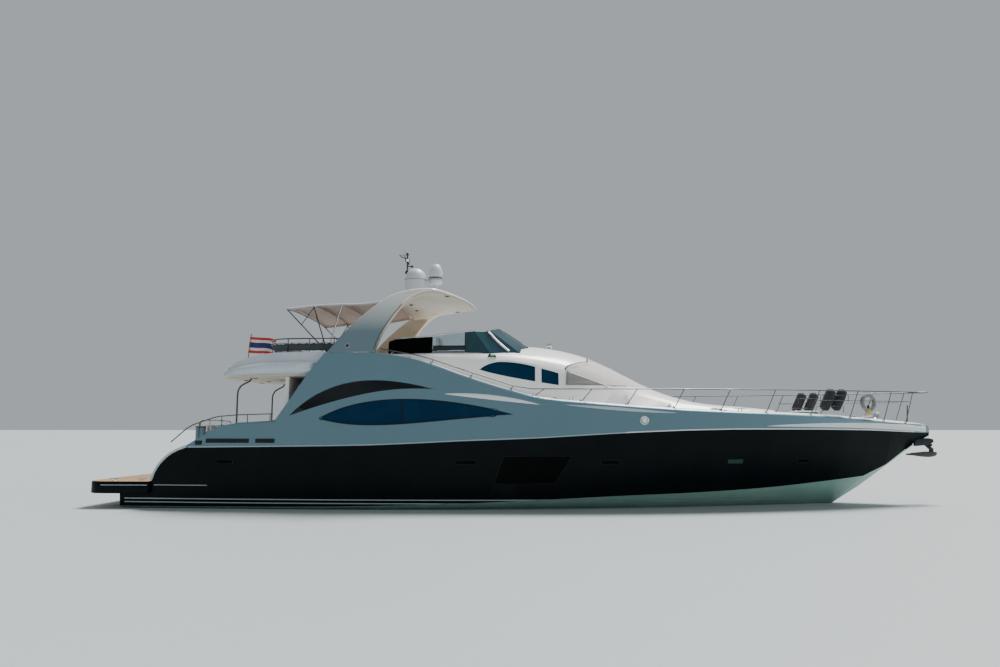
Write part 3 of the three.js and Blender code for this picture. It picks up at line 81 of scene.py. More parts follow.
class Graph:
    """A small builder of shader nodes in one tree."""

    def __init__(self, tree: bpy.types.NodeTree) -> None:
        """Takes the tree that the nodes go into."""
        self.tree = tree

    def node(self, kind: str, **settings: object) -> Node:
        """Adds a node and sets its properties and the inputs that carry a like name.

        Args:
            kind: the node's class name, without its ShaderNode prefix where it has one.
            settings: properties of the node, or its inputs with spaces as underscores.

        Returns:
            The new node.
        """
        made = self.tree.nodes.new(kind if kind.startswith("Node") else "ShaderNode" + kind)
        for name, value in settings.items():
            if hasattr(made, name):
                setattr(made, name, value)
            else:
                self.put(made.inputs[name.replace("_", " ")], value)
        return made

    def put(self, socket: Socket, value: object) -> None:
        """Links a socket into another, or sets its value."""
        if isinstance(value, bpy.types.NodeSocket):
            self.tree.links.new(value, socket)
        elif isinstance(value, tuple) and len(value) == 3 and socket.type == "RGBA":
            socket.default_value = (*value, 1.0)
        else:
            socket.default_value = value

    def feed(self, made: Node, **values: object) -> None:
        """Puts values into a node's inputs, named with underscores for spaces."""
        for name, value in values.items():
            self.put(made.inputs[name.replace("_", " ")], value)

    def math(self, operation: str, *values: object) -> Socket:
        """The result of a Math node on one to three values or sockets."""
        made = self.node("Math", operation=operation)
        for socket, value in zip(made.inputs, values):
            self.put(socket, value)
        return made.outputs[0]

    def mix(self, share: object, low: object, high: object) -> Socket:
        """A colour between two, by a share from 0 to 1."""
        made = self.node("Mix", data_type="RGBA")
        for number, value in ((0, share), (6, low), (7, high)):
            self.put(made.inputs[number], value)
        return made.outputs[2]

    def ramp(self, value: object, low: float, high: float) -> Socket:
        """A value spread from the range low to high onto 0 to 1, and kept inside it."""
        return self.node("MapRange", Value=value, From_Min=low, From_Max=high).outputs["Result"]

    def noise(self, where: Socket, scale: object, detail: float, roughness: float = 0.5) -> Socket:
        """Cloudy noise from 0 to 1."""
        made = self.node("TexNoise", Vector=where, Scale=scale, Detail=detail, Roughness=roughness)
        return made.outputs["Fac"]

    def stretched(self, where: Socket, scale: Point) -> Socket:
        """Coordinates scaled by a factor along each axis."""
        return self.node("Mapping", Vector=where, Scale=scale).outputs[0]

    def bump(self, height: Socket, strength: object, distance: float) -> Socket:
        """The normal of a surface that a height lifts."""
        return self.node("Bump", Strength=strength, Distance=distance, Height=height).outputs["Normal"]

    def object_coords(self) -> Socket:
        """Object coordinates, which are the boat's own metres."""
        return self.node("TexCoord").outputs["Object"]


def toned(colour: Colour, factor: float, lift: float = 0.0) -> Colour:
    """A colour made darker or paler by a factor and then lifted a little."""
    return tuple(min(part * factor + lift, 1.0) for part in colour)


def shader_group(
    name: str,
    inputs: dict[str, object],
    outputs: dict[str, str],
    fill: Callable[[Graph, object, Node], None],
) -> bpy.types.NodeTree:
    """A shader node group, built once and used again under its name.

    Args:
        name: the group's name.
        inputs: the starting value of each input, a tuple for a colour.
        outputs: the kind of each output: Color, Float or Vector.
        fill: adds the nodes, given the graph, the inputs and the output node.

    Returns:
        The group's tree.
    """
    if name in bpy.data.node_groups:
        return bpy.data.node_groups[name]
    tree = bpy.data.node_groups.new(name, "ShaderNodeTree")
    for label, value in inputs.items():
        kind = "Color" if isinstance(value, tuple) else "Float"
        socket = tree.interface.new_socket(label, in_out="INPUT", socket_type=f"NodeSocket{kind}")
        socket.default_value = value
    for label, kind in outputs.items():
        tree.interface.new_socket(label, in_out="OUTPUT", socket_type=f"NodeSocket{kind}")
    graph = Graph(tree)
    fill(graph, graph.node("NodeGroupInput").outputs, graph.node("NodeGroupOutput"))
    return tree


def weathering_group() -> bpy.types.NodeTree:
    """Uneven colour and gloss: broad clouding, fine speckle and faint streaks that run down."""

    def fill(g: Graph, given: object, out: Node) -> None:
        """Mixes the stain in by the stronger of the clouds and the streaks."""
        where = g.object_coords()
        clouds = g.ramp(g.noise(where, given["Scale"], 4.0, 0.55), 0.35, 0.7)
        streaks = g.ramp(g.noise(g.stretched(where, (9.0, 9.0, 0.55)), 1.0, 5.0, 0.6), 0.5, 0.78)
        mask = g.math("MULTIPLY", g.math("MAXIMUM", clouds, streaks), given["Amount"])
        uneven = g.math("MULTIPLY", g.math("ADD", clouds, g.noise(where, 90.0, 2.0)), 0.06)
        g.feed(
            out, Colour=g.mix(mask, given["Colour"], given["Stain"]),
            Roughness=g.math("ADD", given["Roughness"], uneven),
        )

    given = {
        "Colour": (0.5, 0.5, 0.5, 1), "Stain": (0.3, 0.3, 0.3, 1), "Amount": 0.2, "Scale": 0.8,
        "Roughness": 0.2,
    }
    return shader_group("weathering", given, {"Colour": "Color", "Roughness": "Float"}, fill)


def ripple_group() -> bpy.types.NodeTree:
    """The slight unevenness of a hand-faired, sprayed surface, as a normal."""

    def fill(g: Graph, given: object, out: Node) -> None:
        """Adds a fine unevenness to a broad one."""
        where = g.object_coords()
        fine = g.math("MULTIPLY", g.noise(where, given["Scale"], 3.0), 0.12)
        g.feed(out, Normal=g.bump(g.math("ADD", g.noise(where, 0.9, 1.0), fine), given["Strength"], 0.02))

    return shader_group("faired_ripple", {"Scale": 40.0, "Strength": 0.1}, {"Normal": "Vector"}, fill)


def weave_group() -> bpy.types.NodeTree:
    """Crossing threads: a height for a bump and a shade between the threads."""

    def fill(g: Graph, given: object, out: Node) -> None:
        """Crosses three sets of bands and adds slubs."""
        where = g.object_coords()
        threads = [
            g.node(
                "TexWave", wave_type="BANDS", bands_direction=axis, Vector=where, Scale=given["Scale"],
                Distortion=0.6,
            ).outputs["Fac"]
            for axis in ("X", "Y", "Z")
        ]
        crossed = g.math("MULTIPLY", g.math("ADD", g.math("ADD", *threads[:2]), threads[2]), 0.33)
        slubs = g.noise(where, 26.0, 4.0)
        g.feed(
            out, Height=g.math("ADD", crossed, g.math("MULTIPLY", slubs, 0.4)),
            Shade=g.ramp(g.math("ADD", crossed, slubs), 0.5, 1.3),
        )

    return shader_group("weave", {"Scale": 60.0}, {"Height": "Float", "Shade": "Float"}, fill)


# Finishes


@dataclass(frozen=True)
class Finish:
    """What every finish has: a name, a colour and a gloss."""

    name: str
    colour: Colour
    roughness: float = 0.3

    def material(self) -> bpy.types.Material:
        """The finish as a material, made once."""
        if self.name in bpy.data.materials:
            return bpy.data.materials[self.name]
        made = bpy.data.materials.new(self.name)
        made.use_nodes = True
        made.node_tree.nodes.clear()
        graph = Graph(made.node_tree)
        shader = graph.node("BsdfPrincipled")
        graph.node("OutputMaterial", Surface=shader.outputs["BSDF"])
        made.diffuse_color = (*self.colour, 1.0)
        self.dress(graph, shader)
        return made

    def dress(self, graph: Graph, shader: Node) -> None:
        """Adds this finish's own nodes round its shader."""
        raise NotImplementedError

    def group(self, graph: Graph, tree: bpy.types.NodeTree, **values: object) -> Node:
        """Places a shared group in the material with its own values."""
        made = graph.node("Group")
        made.node_tree = tree
        graph.feed(made, **values)
        return made

    def uneven(self, graph: Graph, mask: Socket, amount: float) -> Socket:
        """The finish's roughness, raised by a mask."""
        return graph.math("ADD", graph.math("MULTIPLY", mask, amount), self.roughness)


@dataclass(frozen=True)
class Paint(Finish):
    """Sprayed and clear-coated moulding, with clouding, streaks and a faint ripple."""

    stain: Colour = (0.2, 0.2, 0.2)
    wear: float = 0.15
    metallic: float = 0.0
    coat: float = 0.4
    ripple: float = 0.05
    mirror: float = 0.4

    def body_colour(self, graph: Graph) -> object:
        """The paint's own colour, before wear."""
        return self.colour

    def dress(self, graph: Graph, shader: Node) -> None:
        """Weathered colour under a clear coat."""
        worn = self.group(
            graph, weathering_group(), Colour=self.body_colour(graph), Stain=self.stain, Amount=self.wear,
            Roughness=self.roughness,
        ).outputs
        rippled = self.group(graph, ripple_group(), Strength=self.ripple)
        graph.feed(
            shader, Base_Color=worn["Colour"], Roughness=worn["Roughness"], Normal=rippled.outputs["Normal"],
            Metallic=self.metallic, Specular_IOR_Level=self.mirror, Coat_Weight=self.coat, Coat_Roughness=0.04,
        )


@dataclass(frozen=True)
class UpwardLitPaint(Paint):
    """Paint that passes into a paler second colour with height: painted light, as if its upper parts caught
    the sky.
    """

    upper: Colour = (0.6, 0.6, 0.58)
    fade_z: tuple[float, float] = (5.2, 6.2)

    def body_colour(self, graph: Graph) -> object:
        """The lower colour, turning to the upper one between two heights, which paints the upper parts as lit.
        """
        height = graph.node("SeparateXYZ", Vector=graph.object_coords()).outputs["Z"]
        return graph.mix(graph.ramp(height, *self.fade_z), self.colour, self.upper)


@dataclass(frozen=True)
class ArchPaint(UpwardLitPaint):
    """Paint that pales upwards as painted light, with a second colour where the surface looks inwards or down.
    """

    inner: Colour = (0.78, 0.67, 0.52)

    def body_colour(self, graph: Graph) -> object:
        """The outer colour, passing softly into the inner one by the way the surface faces."""
        outer = super().body_colour(graph)
        normal = graph.node("SeparateXYZ", Vector=graph.node("TexCoord").outputs["Normal"]).outputs
        side = graph.math("SIGN", graph.node("SeparateXYZ", Vector=graph.object_coords()).outputs["Y"])
        inwards = graph.math("MULTIPLY", graph.math("MULTIPLY", normal["Y"], side), -1.0)
        down = graph.math("MULTIPLY", normal["Z"], -1.0)
        mask = graph.math("MAXIMUM", graph.ramp(inwards, 0.3, 0.5), graph.ramp(down, 0.2, 0.45))
        return graph.mix(mask, outer, self.inner)


@dataclass(frozen=True)
class NonSkid(Finish):
    """Moulded deck with a fine diamond grip."""

    def dress(self, graph: Graph, shader: Node) -> None:
        """Two crossed bands make the grip, and dirt lies in it."""
        turned = graph.node(
            "Mapping", Vector=graph.object_coords(), Rotation=(0.0, 0.0, math.radians(45)),
        ).outputs[0]
        height = graph.math("MULTIPLY", *(
            graph.node(
                "TexWave", bands_direction=axis, Vector=turned, Scale=9.0,
            ).outputs["Fac"] for axis in ("X", "Y")
        ))
        worn = self.group(
            graph, weathering_group(), Colour=self.colour, Stain=(0.45, 0.45, 0.42), Amount=0.3,
            Roughness=self.roughness,
        ).outputs
        graph.feed(
            shader, Base_Color=worn["Colour"], Roughness=worn["Roughness"],
            Normal=graph.bump(height, 0.4, 0.004),
        )


@dataclass(frozen=True)
class Planking(Finish):
    """Laid teak: planks along X with dark seams, each plank its own tone, and grain."""

    plank: float = 0.055
    seam: Colour = (0.02, 0.018, 0.016)

    def dress(self, graph: Graph, shader: Node) -> None:
        """Seams by the fraction of a plank's width, grain by a stretched noise."""
        where = graph.object_coords()
        across = graph.math("DIVIDE", graph.node("SeparateXYZ", Vector=where).outputs["Y"], self.plank)
        from_middle = graph.math("ABSOLUTE", graph.math("SUBTRACT", graph.math("FRACT", across), 0.5))
        seam = graph.ramp(from_middle, 0.43, 0.455)
        grain = graph.noise(graph.stretched(where, (1.6, 38.0, 38.0)), 1.0, 6.0, 0.65)
        tone = graph.node(
            "TexWhiteNoise", noise_dimensions="1D", W=graph.math("FLOOR", across),
        ).outputs["Value"]
        shade = graph.math("ADD", graph.math("MULTIPLY", grain, 0.7), graph.math("MULTIPLY", tone, 0.3))
        wood = graph.mix(graph.ramp(shade, 0.3, 0.75), toned(self.colour, 0.5), toned(self.colour, 1.3))
        height = graph.math("SUBTRACT", graph.math("MULTIPLY", grain, 0.2), seam)
        graph.feed(
            shader, Base_Color=graph.mix(seam, wood, self.seam), Roughness=self.uneven(graph, grain, 0.25),
            Normal=graph.bump(height, 0.5, 0.002),
        )


@dataclass(frozen=True)
class Metal(Finish):
    """Polished or cast metal with fine scratches and handling marks."""

    scratch: float = 0.12
    tarnish: float = 0.15

    def dress(self, graph: Graph, shader: Node) -> None:
        """Rubbed lines in the gloss and a cloudy tarnish in the colour."""
        where = graph.object_coords()
        lines = graph.noise(graph.stretched(where, (6.0, 220.0, 220.0)), 1.0, 3.0)
        share = graph.math("MULTIPLY", graph.ramp(graph.noise(where, 7.0, 4.0), 0.4, 0.75), self.tarnish)
        graph.feed(
            shader, Base_Color=graph.mix(share, self.colour, toned(self.colour, 0.6)),
            Roughness=self.uneven(graph, lines, self.scratch), Normal=graph.bump(lines, 0.08, 0.001),
            Metallic=1.0,
        )


@dataclass(frozen=True)
class Glass(Finish):
    """Tinted pane: a deep body colour, or a clear tint where it lets light through."""

    clear: float = 0.0
    mirror: float = 0.5

    def dress(self, graph: Graph, shader: Node) -> None:
        """A faint unevenness of the tint and a film of salt."""
        film = graph.noise(graph.object_coords(), 2.2, 5.0)
        salt = graph.ramp(film, 0.45, 0.85)
        graph.feed(
            shader, Base_Color=graph.mix(salt, self.colour, toned(self.colour, 1.25, 0.002)),
            Roughness=self.uneven(graph, salt, 0.05), Normal=graph.bump(film, 0.03, 0.01),
        )
        shader.inputs["Transmission Weight"].default_value = self.clear
        shader.inputs["IOR"].default_value = 1.45
        shader.inputs["Specular IOR Level"].default_value = self.mirror


@dataclass(frozen=True)
class Cloth(Finish):
    """Woven cloth: threads, slubs and a soft sheen."""

    threads: float = 110.0
    sheen: float = 0.3
    rise: float = 0.0012
    stripes: tuple[Colour, ...] = ()

    def dress(self, graph: Graph, shader: Node) -> None:
        """The weave shades the colour between threads and lifts them in the bump."""
        woven = self.group(graph, weave_group(), Scale=self.threads).outputs
        colour = self.striped(graph) if self.stripes else self.colour
        dark = graph.node("HueSaturation", Value=0.84, Color=colour).outputs["Color"]
        graph.feed(
            shader, Base_Color=graph.mix(woven["Shade"], dark, colour), Roughness=self.roughness,
            Normal=graph.bump(woven["Height"], 0.35, self.rise), Sheen_Weight=self.sheen, Sheen_Roughness=0.5,
        )

    def striped(self, graph: Graph) -> Socket:
        """Level bands from the sheet's own UV map, the first at its foot."""
        across = graph.node("SeparateXYZ", Vector=graph.node("TexCoord").outputs["UV"]).outputs["Y"]
        ramp = graph.node("ValToRGB", Fac=across)
        ramp.color_ramp.interpolation = "CONSTANT"
        marks = ramp.color_ramp.elements
        while len(marks) < len(self.stripes):
            marks.new(0.5)
        for i, band in enumerate(self.stripes):
            marks[i].position = i / len(self.stripes)
            marks[i].color = (*band, 1.0)
        return ramp.outputs["Color"]


@dataclass(frozen=True)
class Leather(Finish):
    """Marine upholstery: fine pebbled grain and broad wear."""

    def dress(self, graph: Graph, shader: Node) -> None:
        """Cells make the grain, and broad clouding the wear."""
        where = graph.object_coords()
        cells = graph.node("TexVoronoi", Vector=where, Scale=160.0).outputs["Distance"]
        clouds = graph.noise(where, 5.0, 4.0)
        graph.feed(
            shader, Base_Color=graph.mix(graph.ramp(clouds, 0.3, 0.8), self.colour, toned(self.colour, 0.75)),
            Roughness=self.uneven(graph, clouds, 0.2), Normal=graph.bump(cells, 0.35, 0.001),
        )


@dataclass(frozen=True)
class Rubber(Finish):
    """Moulded rubber or matt plastic with scuffs."""

    shine: float = 0.3

    def dress(self, graph: Graph, shader: Node) -> None:
        """Pale scuffs on a dull, slightly grained body."""
        where = graph.object_coords()
        scuffs = graph.noise(where, 11.0, 7.0, 0.7)
        grain = graph.noise(where, 220.0, 2.0)
        graph.feed(
            shader,
            Base_Color=graph.mix(graph.ramp(scuffs, 0.55, 0.8), self.colour, toned(self.colour, 2.0, 0.006)),
            Roughness=self.uneven(graph, scuffs, 0.25), Specular_IOR_Level=self.shine,
            Normal=graph.bump(grain, 0.25, 0.001),
        )


@dataclass(frozen=True)
class Lamp(Finish):
    """A lens that glows a little."""

    strength: float = 0.4

    def dress(self, graph: Graph, shader: Node) -> None:
        """A ribbed lens over a weak glow."""
        ribs = graph.node("TexWave", Vector=graph.object_coords(), Scale=60.0).outputs["Fac"]
        graph.feed(
            shader, Base_Color=graph.mix(ribs, toned(self.colour, 0.7), self.colour),
            Roughness=self.roughness,
            Normal=graph.bump(ribs, 0.3, 0.002), Emission_Color=(*self.colour, 1.0),
            Emission_Strength=self.strength,
        )


BLACK_GLOSS = Paint(
    "black_topsides", (0.0018, 0.0038, 0.005), 0.24, stain=(0.006, 0.01, 0.012), wear=0.35, coat=0.0,
    ripple=0.03,
    mirror=0.07,
)
# Silver paint tinted dark blue-teal: partly its own silver, partly painted shade and painted reflection of
# water.
SILVER_WITH_PAINTED_SHADE = Paint(
    "silver_upperworks_painted_shade", (0.15, 0.26, 0.315), 0.34, stain=(0.11, 0.19, 0.23), wear=0.22, metallic=0.5,
    coat=0.22,
    ripple=0.035,
)
# The arch's silver: darker blue-teal low down as painted shade, near white high up as painted light on its
# top.
ARCH_SILVER_PAINTED_LIGHT = ArchPaint(
    "arch_silver_painted_light", (0.155, 0.225, 0.26), 0.34, stain=(0.13, 0.18, 0.2), wear=0.22, metallic=0.3, coat=0.25,
    ripple=0.035, upper=(0.85, 0.83, 0.79), fade_z=(5.3, 6.4),
)
# The flybridge's silver, paling upwards from its lip: painted light and painted sky reflection on its upper
# faces.
OVERHANG_SILVER_PAINTED_LIGHT = UpwardLitPaint(
    "overhang_silver_painted_light", (0.2, 0.26, 0.3), 0.34, stain=(0.2, 0.25, 0.28), wear=0.22, metallic=0.2, coat=0.25,
    ripple=0.035, upper=(0.6, 0.64, 0.7), fade_z=(3.7, 4.12),
)
# Near-white paint for the moulded ridges and the bow's bead: painted highlight where their tops catch the
# light.
PAINTED_HIGHLIGHT = Paint(
    "painted_highlight_white", (0.82, 0.84, 0.84), 0.28, stain=(0.6, 0.64, 0.65), wear=0.2, coat=0.3, ripple=0.03,
)
WHITE = Paint("white_gelcoat", (0.86, 0.86, 0.84), 0.3, stain=(0.6, 0.59, 0.55), wear=0.22, ripple=0.04)
CREAM = Paint(
    "cream_underside", (0.78, 0.67, 0.52), 0.45, stain=(0.6, 0.5, 0.38), wear=0.25, coat=0.1, ripple=0.03,
)
# The pale bottom, tinted teal-green: painted shade and painted reflection of water on its pale paint.
BOTTOM_WITH_PAINTED_SHADE = Paint(
    "pale_bottom_painted_shade", (0.32, 0.55, 0.48), 0.4, stain=(0.18, 0.34, 0.29), wear=0.4, coat=0.1, ripple=0.04,
)
# Pale paint: the own colour of the knuckle's bead and the stern's edge, and a painted highlight on the side
# ledges.
PALE_BEAD_AND_PAINTED_HIGHLIGHT = Paint(
    "pale_bead_and_painted_highlight", (0.5, 0.56, 0.58), 0.3, stain=(0.42, 0.48, 0.5), wear=0.2, metallic=0.1, coat=0.25,
    ripple=0.03,
)
# Pale stripes tinted grey-teal: painted shade and painted reflection of water on pale lines.
STRIPE_WITH_PAINTED_SHADE = Paint("pale_stripe_painted_shade", (0.4, 0.47, 0.46), 0.35, stain=(0.25, 0.31, 0.3), wear=0.35)
WHITE_METAL = Paint("white_metal", (0.8, 0.8, 0.79), 0.35, stain=(0.5, 0.49, 0.46), wear=0.3, ripple=0.02)
DARK_TRIM = Paint(
    "dark_trim", (0.01, 0.013, 0.016), 0.35, stain=(0.03, 0.034, 0.038), wear=0.3, coat=0.0, mirror=0.25,
)
DECK = NonSkid("grip_deck", (0.78, 0.78, 0.76), 0.5)
TEAK = Planking("laid_teak", (0.42, 0.26, 0.14), 0.5)
JOINERY = Planking("oiled_teak", (0.36, 0.2, 0.1), 0.35, plank=0.14, seam=(0.18, 0.1, 0.05))
STAINLESS = Metal("polished_stainless", (0.62, 0.64, 0.66), 0.14)
RAIL_STEEL = Metal("rail_stainless", (0.1, 0.108, 0.118), 0.25)
DARK_METAL = Metal("darkened_metal", (0.05, 0.054, 0.06), 0.4)
SHAFT_STEEL = Metal("shaft_steel", (0.55, 0.56, 0.57), 0.25)
BRONZE = Metal("cast_bronze", (0.56, 0.38, 0.17), 0.35, scratch=0.2, tarnish=0.6)
IRON = Paint("engine_paint", (0.2, 0.23, 0.24), 0.5, stain=(0.06, 0.06, 0.06), wear=0.4, coat=0.1)
# Dark tinted glass; its deep blue is a painted reflection of the sky.
DARK_GLASS_WITH_PAINTED_SKY = Glass("dark_glass_painted_sky_blue", (0.0002, 0.024, 0.06), 0.03, mirror=0.15)
BLACK_GLASS = Glass("black_glass", (0.001, 0.0012, 0.0015), 0.05, mirror=0.04)
TINTED = Glass("tinted_screen", (0.012, 0.045, 0.06), 0.04, mirror=0.45)
CLEAR = Glass("clear_screen", (0.55, 0.68, 0.72), 0.01, clear=0.94)
CANVAS = Cloth("sand_canvas", (0.42, 0.41, 0.44), 0.85)
LINING = Cloth("canopy_lining", (0.62, 0.46, 0.38), 0.85)
COVER = Cloth("windscreen_cover", (0.6, 0.57, 0.54), 0.8, threads=80.0)
MESH_COVER = Cloth("grey_mesh_cover", (0.24, 0.23, 0.23), 0.8, threads=70.0)
DARK_MESH = Cloth("dark_mesh", (0.03, 0.045, 0.055), 0.7, threads=60.0, sheen=0.1)
FLAG_RED, FLAG_PALE, FLAG_BLUE = (0.55, 0.03, 0.03), (0.75, 0.74, 0.72), (0.02, 0.025, 0.16)
ENSIGN_CLOTH = Cloth(
    "ensign_cloth", (0.6, 0.6, 0.58), 0.75, threads=90.0, sheen=0.2, rise=0.0006,
    stripes=(FLAG_RED, FLAG_PALE, FLAG_BLUE, FLAG_BLUE, FLAG_PALE, FLAG_RED),
)
CUSHION = Leather("pale_upholstery", (0.76, 0.73, 0.66), 0.45)
PIPING = Leather("piping", (0.3, 0.32, 0.33), 0.5)
GREEN_GLASS = Glass("green_glass", (0.01, 0.05, 0.035), 0.06, mirror=0.3)
DOME_WHITE = Paint(
    "dome_white", (0.55, 0.57, 0.6), 0.35, stain=(0.4, 0.41, 0.42), wear=0.25, coat=0.2, ripple=0.02,
)
ANCHOR_STEEL = Metal("anchor_steel", (0.06, 0.058, 0.055), 0.35, scratch=0.25, tarnish=0.5)
FENDER_RUBBER = Rubber("fender_rubber", (0.004, 0.0045, 0.005), 0.6, shine=0.12)
BUOY_GREY = Rubber("buoy_shell", (0.22, 0.225, 0.23), 0.5)
BUOY_YELLOW = Rubber("float_light", (0.6, 0.45, 0.03), 0.5)
FENDER_ROPE = Cloth("fender_rope", (0.3, 0.3, 0.28), 0.8, threads=200.0)
BLACK_RUBBER = Rubber("black_rubber", (0.012, 0.012, 0.013), 0.6)
BLACK_PLASTIC = Rubber("black_plastic", (0.02, 0.021, 0.023), 0.4)
LENS = Lamp("lamp_lens", (0.85, 0.83, 0.75), 0.2)
RED_LENS = Lamp("port_lamp", (0.6, 0.02, 0.02), 0.1)
GREEN_LENS = Lamp("starboard_lamp", (0.02, 0.45, 0.12), 0.1)


# Mesh helpers


def dissolved_copy(node: str, angle: float = 0.6) -> Mesh:
    """A CAD node's surface with its loose triangles merged and its flat stretches joined."""
    bm = bmesh.new()
    bm.from_mesh(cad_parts[node].data)
    bmesh.ops.remove_doubles(bm, verts=bm.verts[:], dist=2e-5)
    bmesh.ops.dissolve_limit(
        bm, angle_limit=math.radians(
            angle,
        ), use_dissolve_boundaries=False, verts=bm.verts[:], edges=bm.edges[:]
    )
    return bm


def corner_edges(bm: Mesh, degrees: float) -> list[bmesh.types.BMEdge]:
    """The edges whose two faces turn by more than an angle."""
    limit = math.radians(degrees)
    return [e for e in bm.edges if len(e.link_faces) == 2 and e.calc_face_angle(0.0) > limit]


def eased(bm: Mesh, edges: Iterable[bmesh.types.BMEdge], width: float, segments: int = 2) -> None:
    """Rounds edges with a bevel that never runs past its neighbours."""
    bmesh.ops.bevel(
        bm, geom=list(edges), offset=width, offset_type="OFFSET", segments=segments, profile=0.5,
        affect="EDGES", clamp_overlap=True, material=-1,
    )


def piece(
    name: str,
    bm: Mesh,
    finishes: Finish | Sequence[Finish],
    body: str = "boat",
    stands_for: Sequence[str] = (),
    smooth: float | None = 32.0,
) -> bpy.types.Object:
    """Turns a bmesh into a finished piece on its body.

    Args:
        name: the piece's name.
        bm: its mesh, which is freed.
        finishes: one finish, or one for each material index.
        body: the CAD body that it rides on.
        stands_for: the CAD nodes that it replaces.
        smooth: the angle in degrees past which an edge stays sharp, or None for flat faces.

    Returns:
        The new object.
    """
    mesh = bpy.data.meshes.new(name)
    bm.to_mesh(mesh)
    bm.free()
    for finish in [finishes] if isinstance(finishes, Finish) else finishes:
        mesh.materials.append(finish.material())
    if smooth is None:
        mesh.shade_flat()
    else:
        mesh.shade_smooth()
        mesh.set_sharp_from_angle(angle=math.radians(smooth))
    made = bpy.data.objects.new(name, mesh)
    bpy.context.scene.collection.objects.link(made)
    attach(made, body)
    if stands_for:
        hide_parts(*stands_for)
    log.info("%s: %d faces", name, len(mesh.polygons))
    return made


def dressed(
    node: str,
    finish: Finish,
    body: str = "boat",
    ease: float = 0.0,
    corner: float = 35.0,
    smooth: float = 32.0,
    segments: int = 2,
) -> bpy.types.Object:
    """A CAD node shown as a merged, eased and smoothly shaded copy of itself."""
    bm = dissolved_copy(node)
    if ease:
        eased(bm, corner_edges(bm, corner), ease, segments)
    return piece(node + "_skin", bm, finish, body, (node,), smooth)


def even_normals(made: bpy.types.Object) -> None:
    """Weights a skin's normals by the size of its faces, so a long fair surface shows no facets."""
    weighted = made.modifiers.new("even normals", "WEIGHTED_NORMAL")
    weighted.keep_sharp = True


def add_box(bm: Mesh, low: Sequence[float], high: Sequence[float]) -> list[bmesh.types.BMVert]:
    """Adds a box between two corners."""
    middle = (Vector(low) + Vector(high)) / 2
    size = Vector(high) - Vector(low)
    made = bmesh.ops.create_cube(bm, size=1.0)["verts"]
    bmesh.ops.scale(bm, vec=size, verts=made)
    bmesh.ops.translate(bm, vec=middle, verts=made)
    return made


def add_bar(
    bm: Mesh, start: Sequence[float], end: Sequence[float], radius: float, sides: int = 10,
    end_radius: float | None = None,
) -> list[bmesh.types.BMVert]:
    """Adds a round bar between two points."""
    a, b = Vector(start), Vector(end)
    run = b - a
    tip = radius if end_radius is None else end_radius
    made = bmesh.ops.create_cone(
        bm, cap_ends=True, segments=sides, radius1=radius, radius2=tip, depth=run.length,
    )["verts"]
    turn = run.to_track_quat("Z", "Y").to_matrix().to_4x4()
    bmesh.ops.transform(bm, matrix=Matrix.Translation((a + b) / 2) @ turn, verts=made)
    return made


def add_ball(
    bm: Mesh, centre: Sequence[float], radii: Sequence[float], steps: int = 12,
) -> list[bmesh.types.BMVert]:
    """Adds a ball, stretched to three radii."""
    made = bmesh.ops.create_uvsphere(bm, u_segments=steps * 2, v_segments=steps, radius=1.0)["verts"]
    bmesh.ops.scale(bm, vec=Vector(radii), verts=made)
    bmesh.ops.translate(bm, vec=Vector(centre), verts=made)
    return made


def add_turned(
    bm: Mesh, profile: Run, centre: Sequence[float], steps: int = 24,
    axis: Sequence[float] = (0, 0, 1),
) -> list[bmesh.types.BMVert]:
    """Spins a profile of (radius, height) round an axis through a point.

    Args:
        bm: the mesh that it goes into.
        profile: radius and height of each point, from one end to the other.
        centre: where height 0 is.
        steps: how many faces go round.
        axis: the direction of the profile's height.

    Returns:
        The new vertices.
    """
    line = [bm.verts.new((max(r, 1e-4), 0.0, z)) for r, z in profile]
    edges = [bm.edges.new(pair) for pair in zip(line, line[1:])]
    before = set(bm.verts) - set(line)
    bmesh.ops.spin(
        bm, geom=line + edges, cent=(0, 0, 0), axis=(0, 0, 1), dvec=(0, 0, 0), angle=2 * math.pi, steps=steps,
        use_merge=True,
    )
    made = [v for v in bm.verts if v not in before]
    bmesh.ops.remove_doubles(bm, verts=made, dist=2e-4)
    made = [v for v in bm.verts if v not in before]
    bmesh.ops.recalc_face_normals(bm, faces=list({f for v in made for f in v.link_faces}))
    turn = Vector(axis).to_track_quat("Z", "Y").to_matrix().to_4x4()
    bmesh.ops.transform(bm, matrix=Matrix.Translation(Vector(centre)) @ turn, verts=made)
    return made


def add_tube(
    bm: Mesh, points: Sequence[Sequence[float]], radius: float, closed: bool = False, sides: int = 8,
    bend: Bend = Bend.SMOOTH,
) -> None:
    """Adds a round tube along a smooth or straight run of points.

    Args:
        bm: the mesh that it goes into.
        points: the points that it follows.
        radius: the tube's radius.
        closed: whether its end meets its start.
        sides: how many faces go round it.
        bend: whether it curves through the points, or runs straight between them.
    """
    curve = bpy.data.curves.new("run", "CURVE")
    curve.dimensions = "3D"
    curve.bevel_depth = radius
    curve.bevel_resolution = max((sides - 4) // 2, 0)
    curve.use_fill_caps = True
    curve.resolution_u = 6
    spline = curve.splines.new(bend.value)
    if bend is Bend.SMOOTH:
        spline.bezier_points.add(len(points) - 1)
        for mark, p in zip(spline.bezier_points, points):
            mark.co = p
            mark.handle_left_type = mark.handle_right_type = "AUTO"
    else:
        spline.points.add(len(points) - 1)
        for mark, p in zip(spline.points, points):
            mark.co = (*p, 1.0)
    spline.use_cyclic_u = closed
    holder = bpy.data.objects.new("run", curve)
    bpy.context.scene.collection.objects.link(holder)
    mesh = bpy.data.meshes.new_from_object(holder)
    bm.from_mesh(mesh)
    bpy.data.objects.remove(holder)
    bpy.data.meshes.remove(mesh)
    bpy.data.curves.remove(curve)


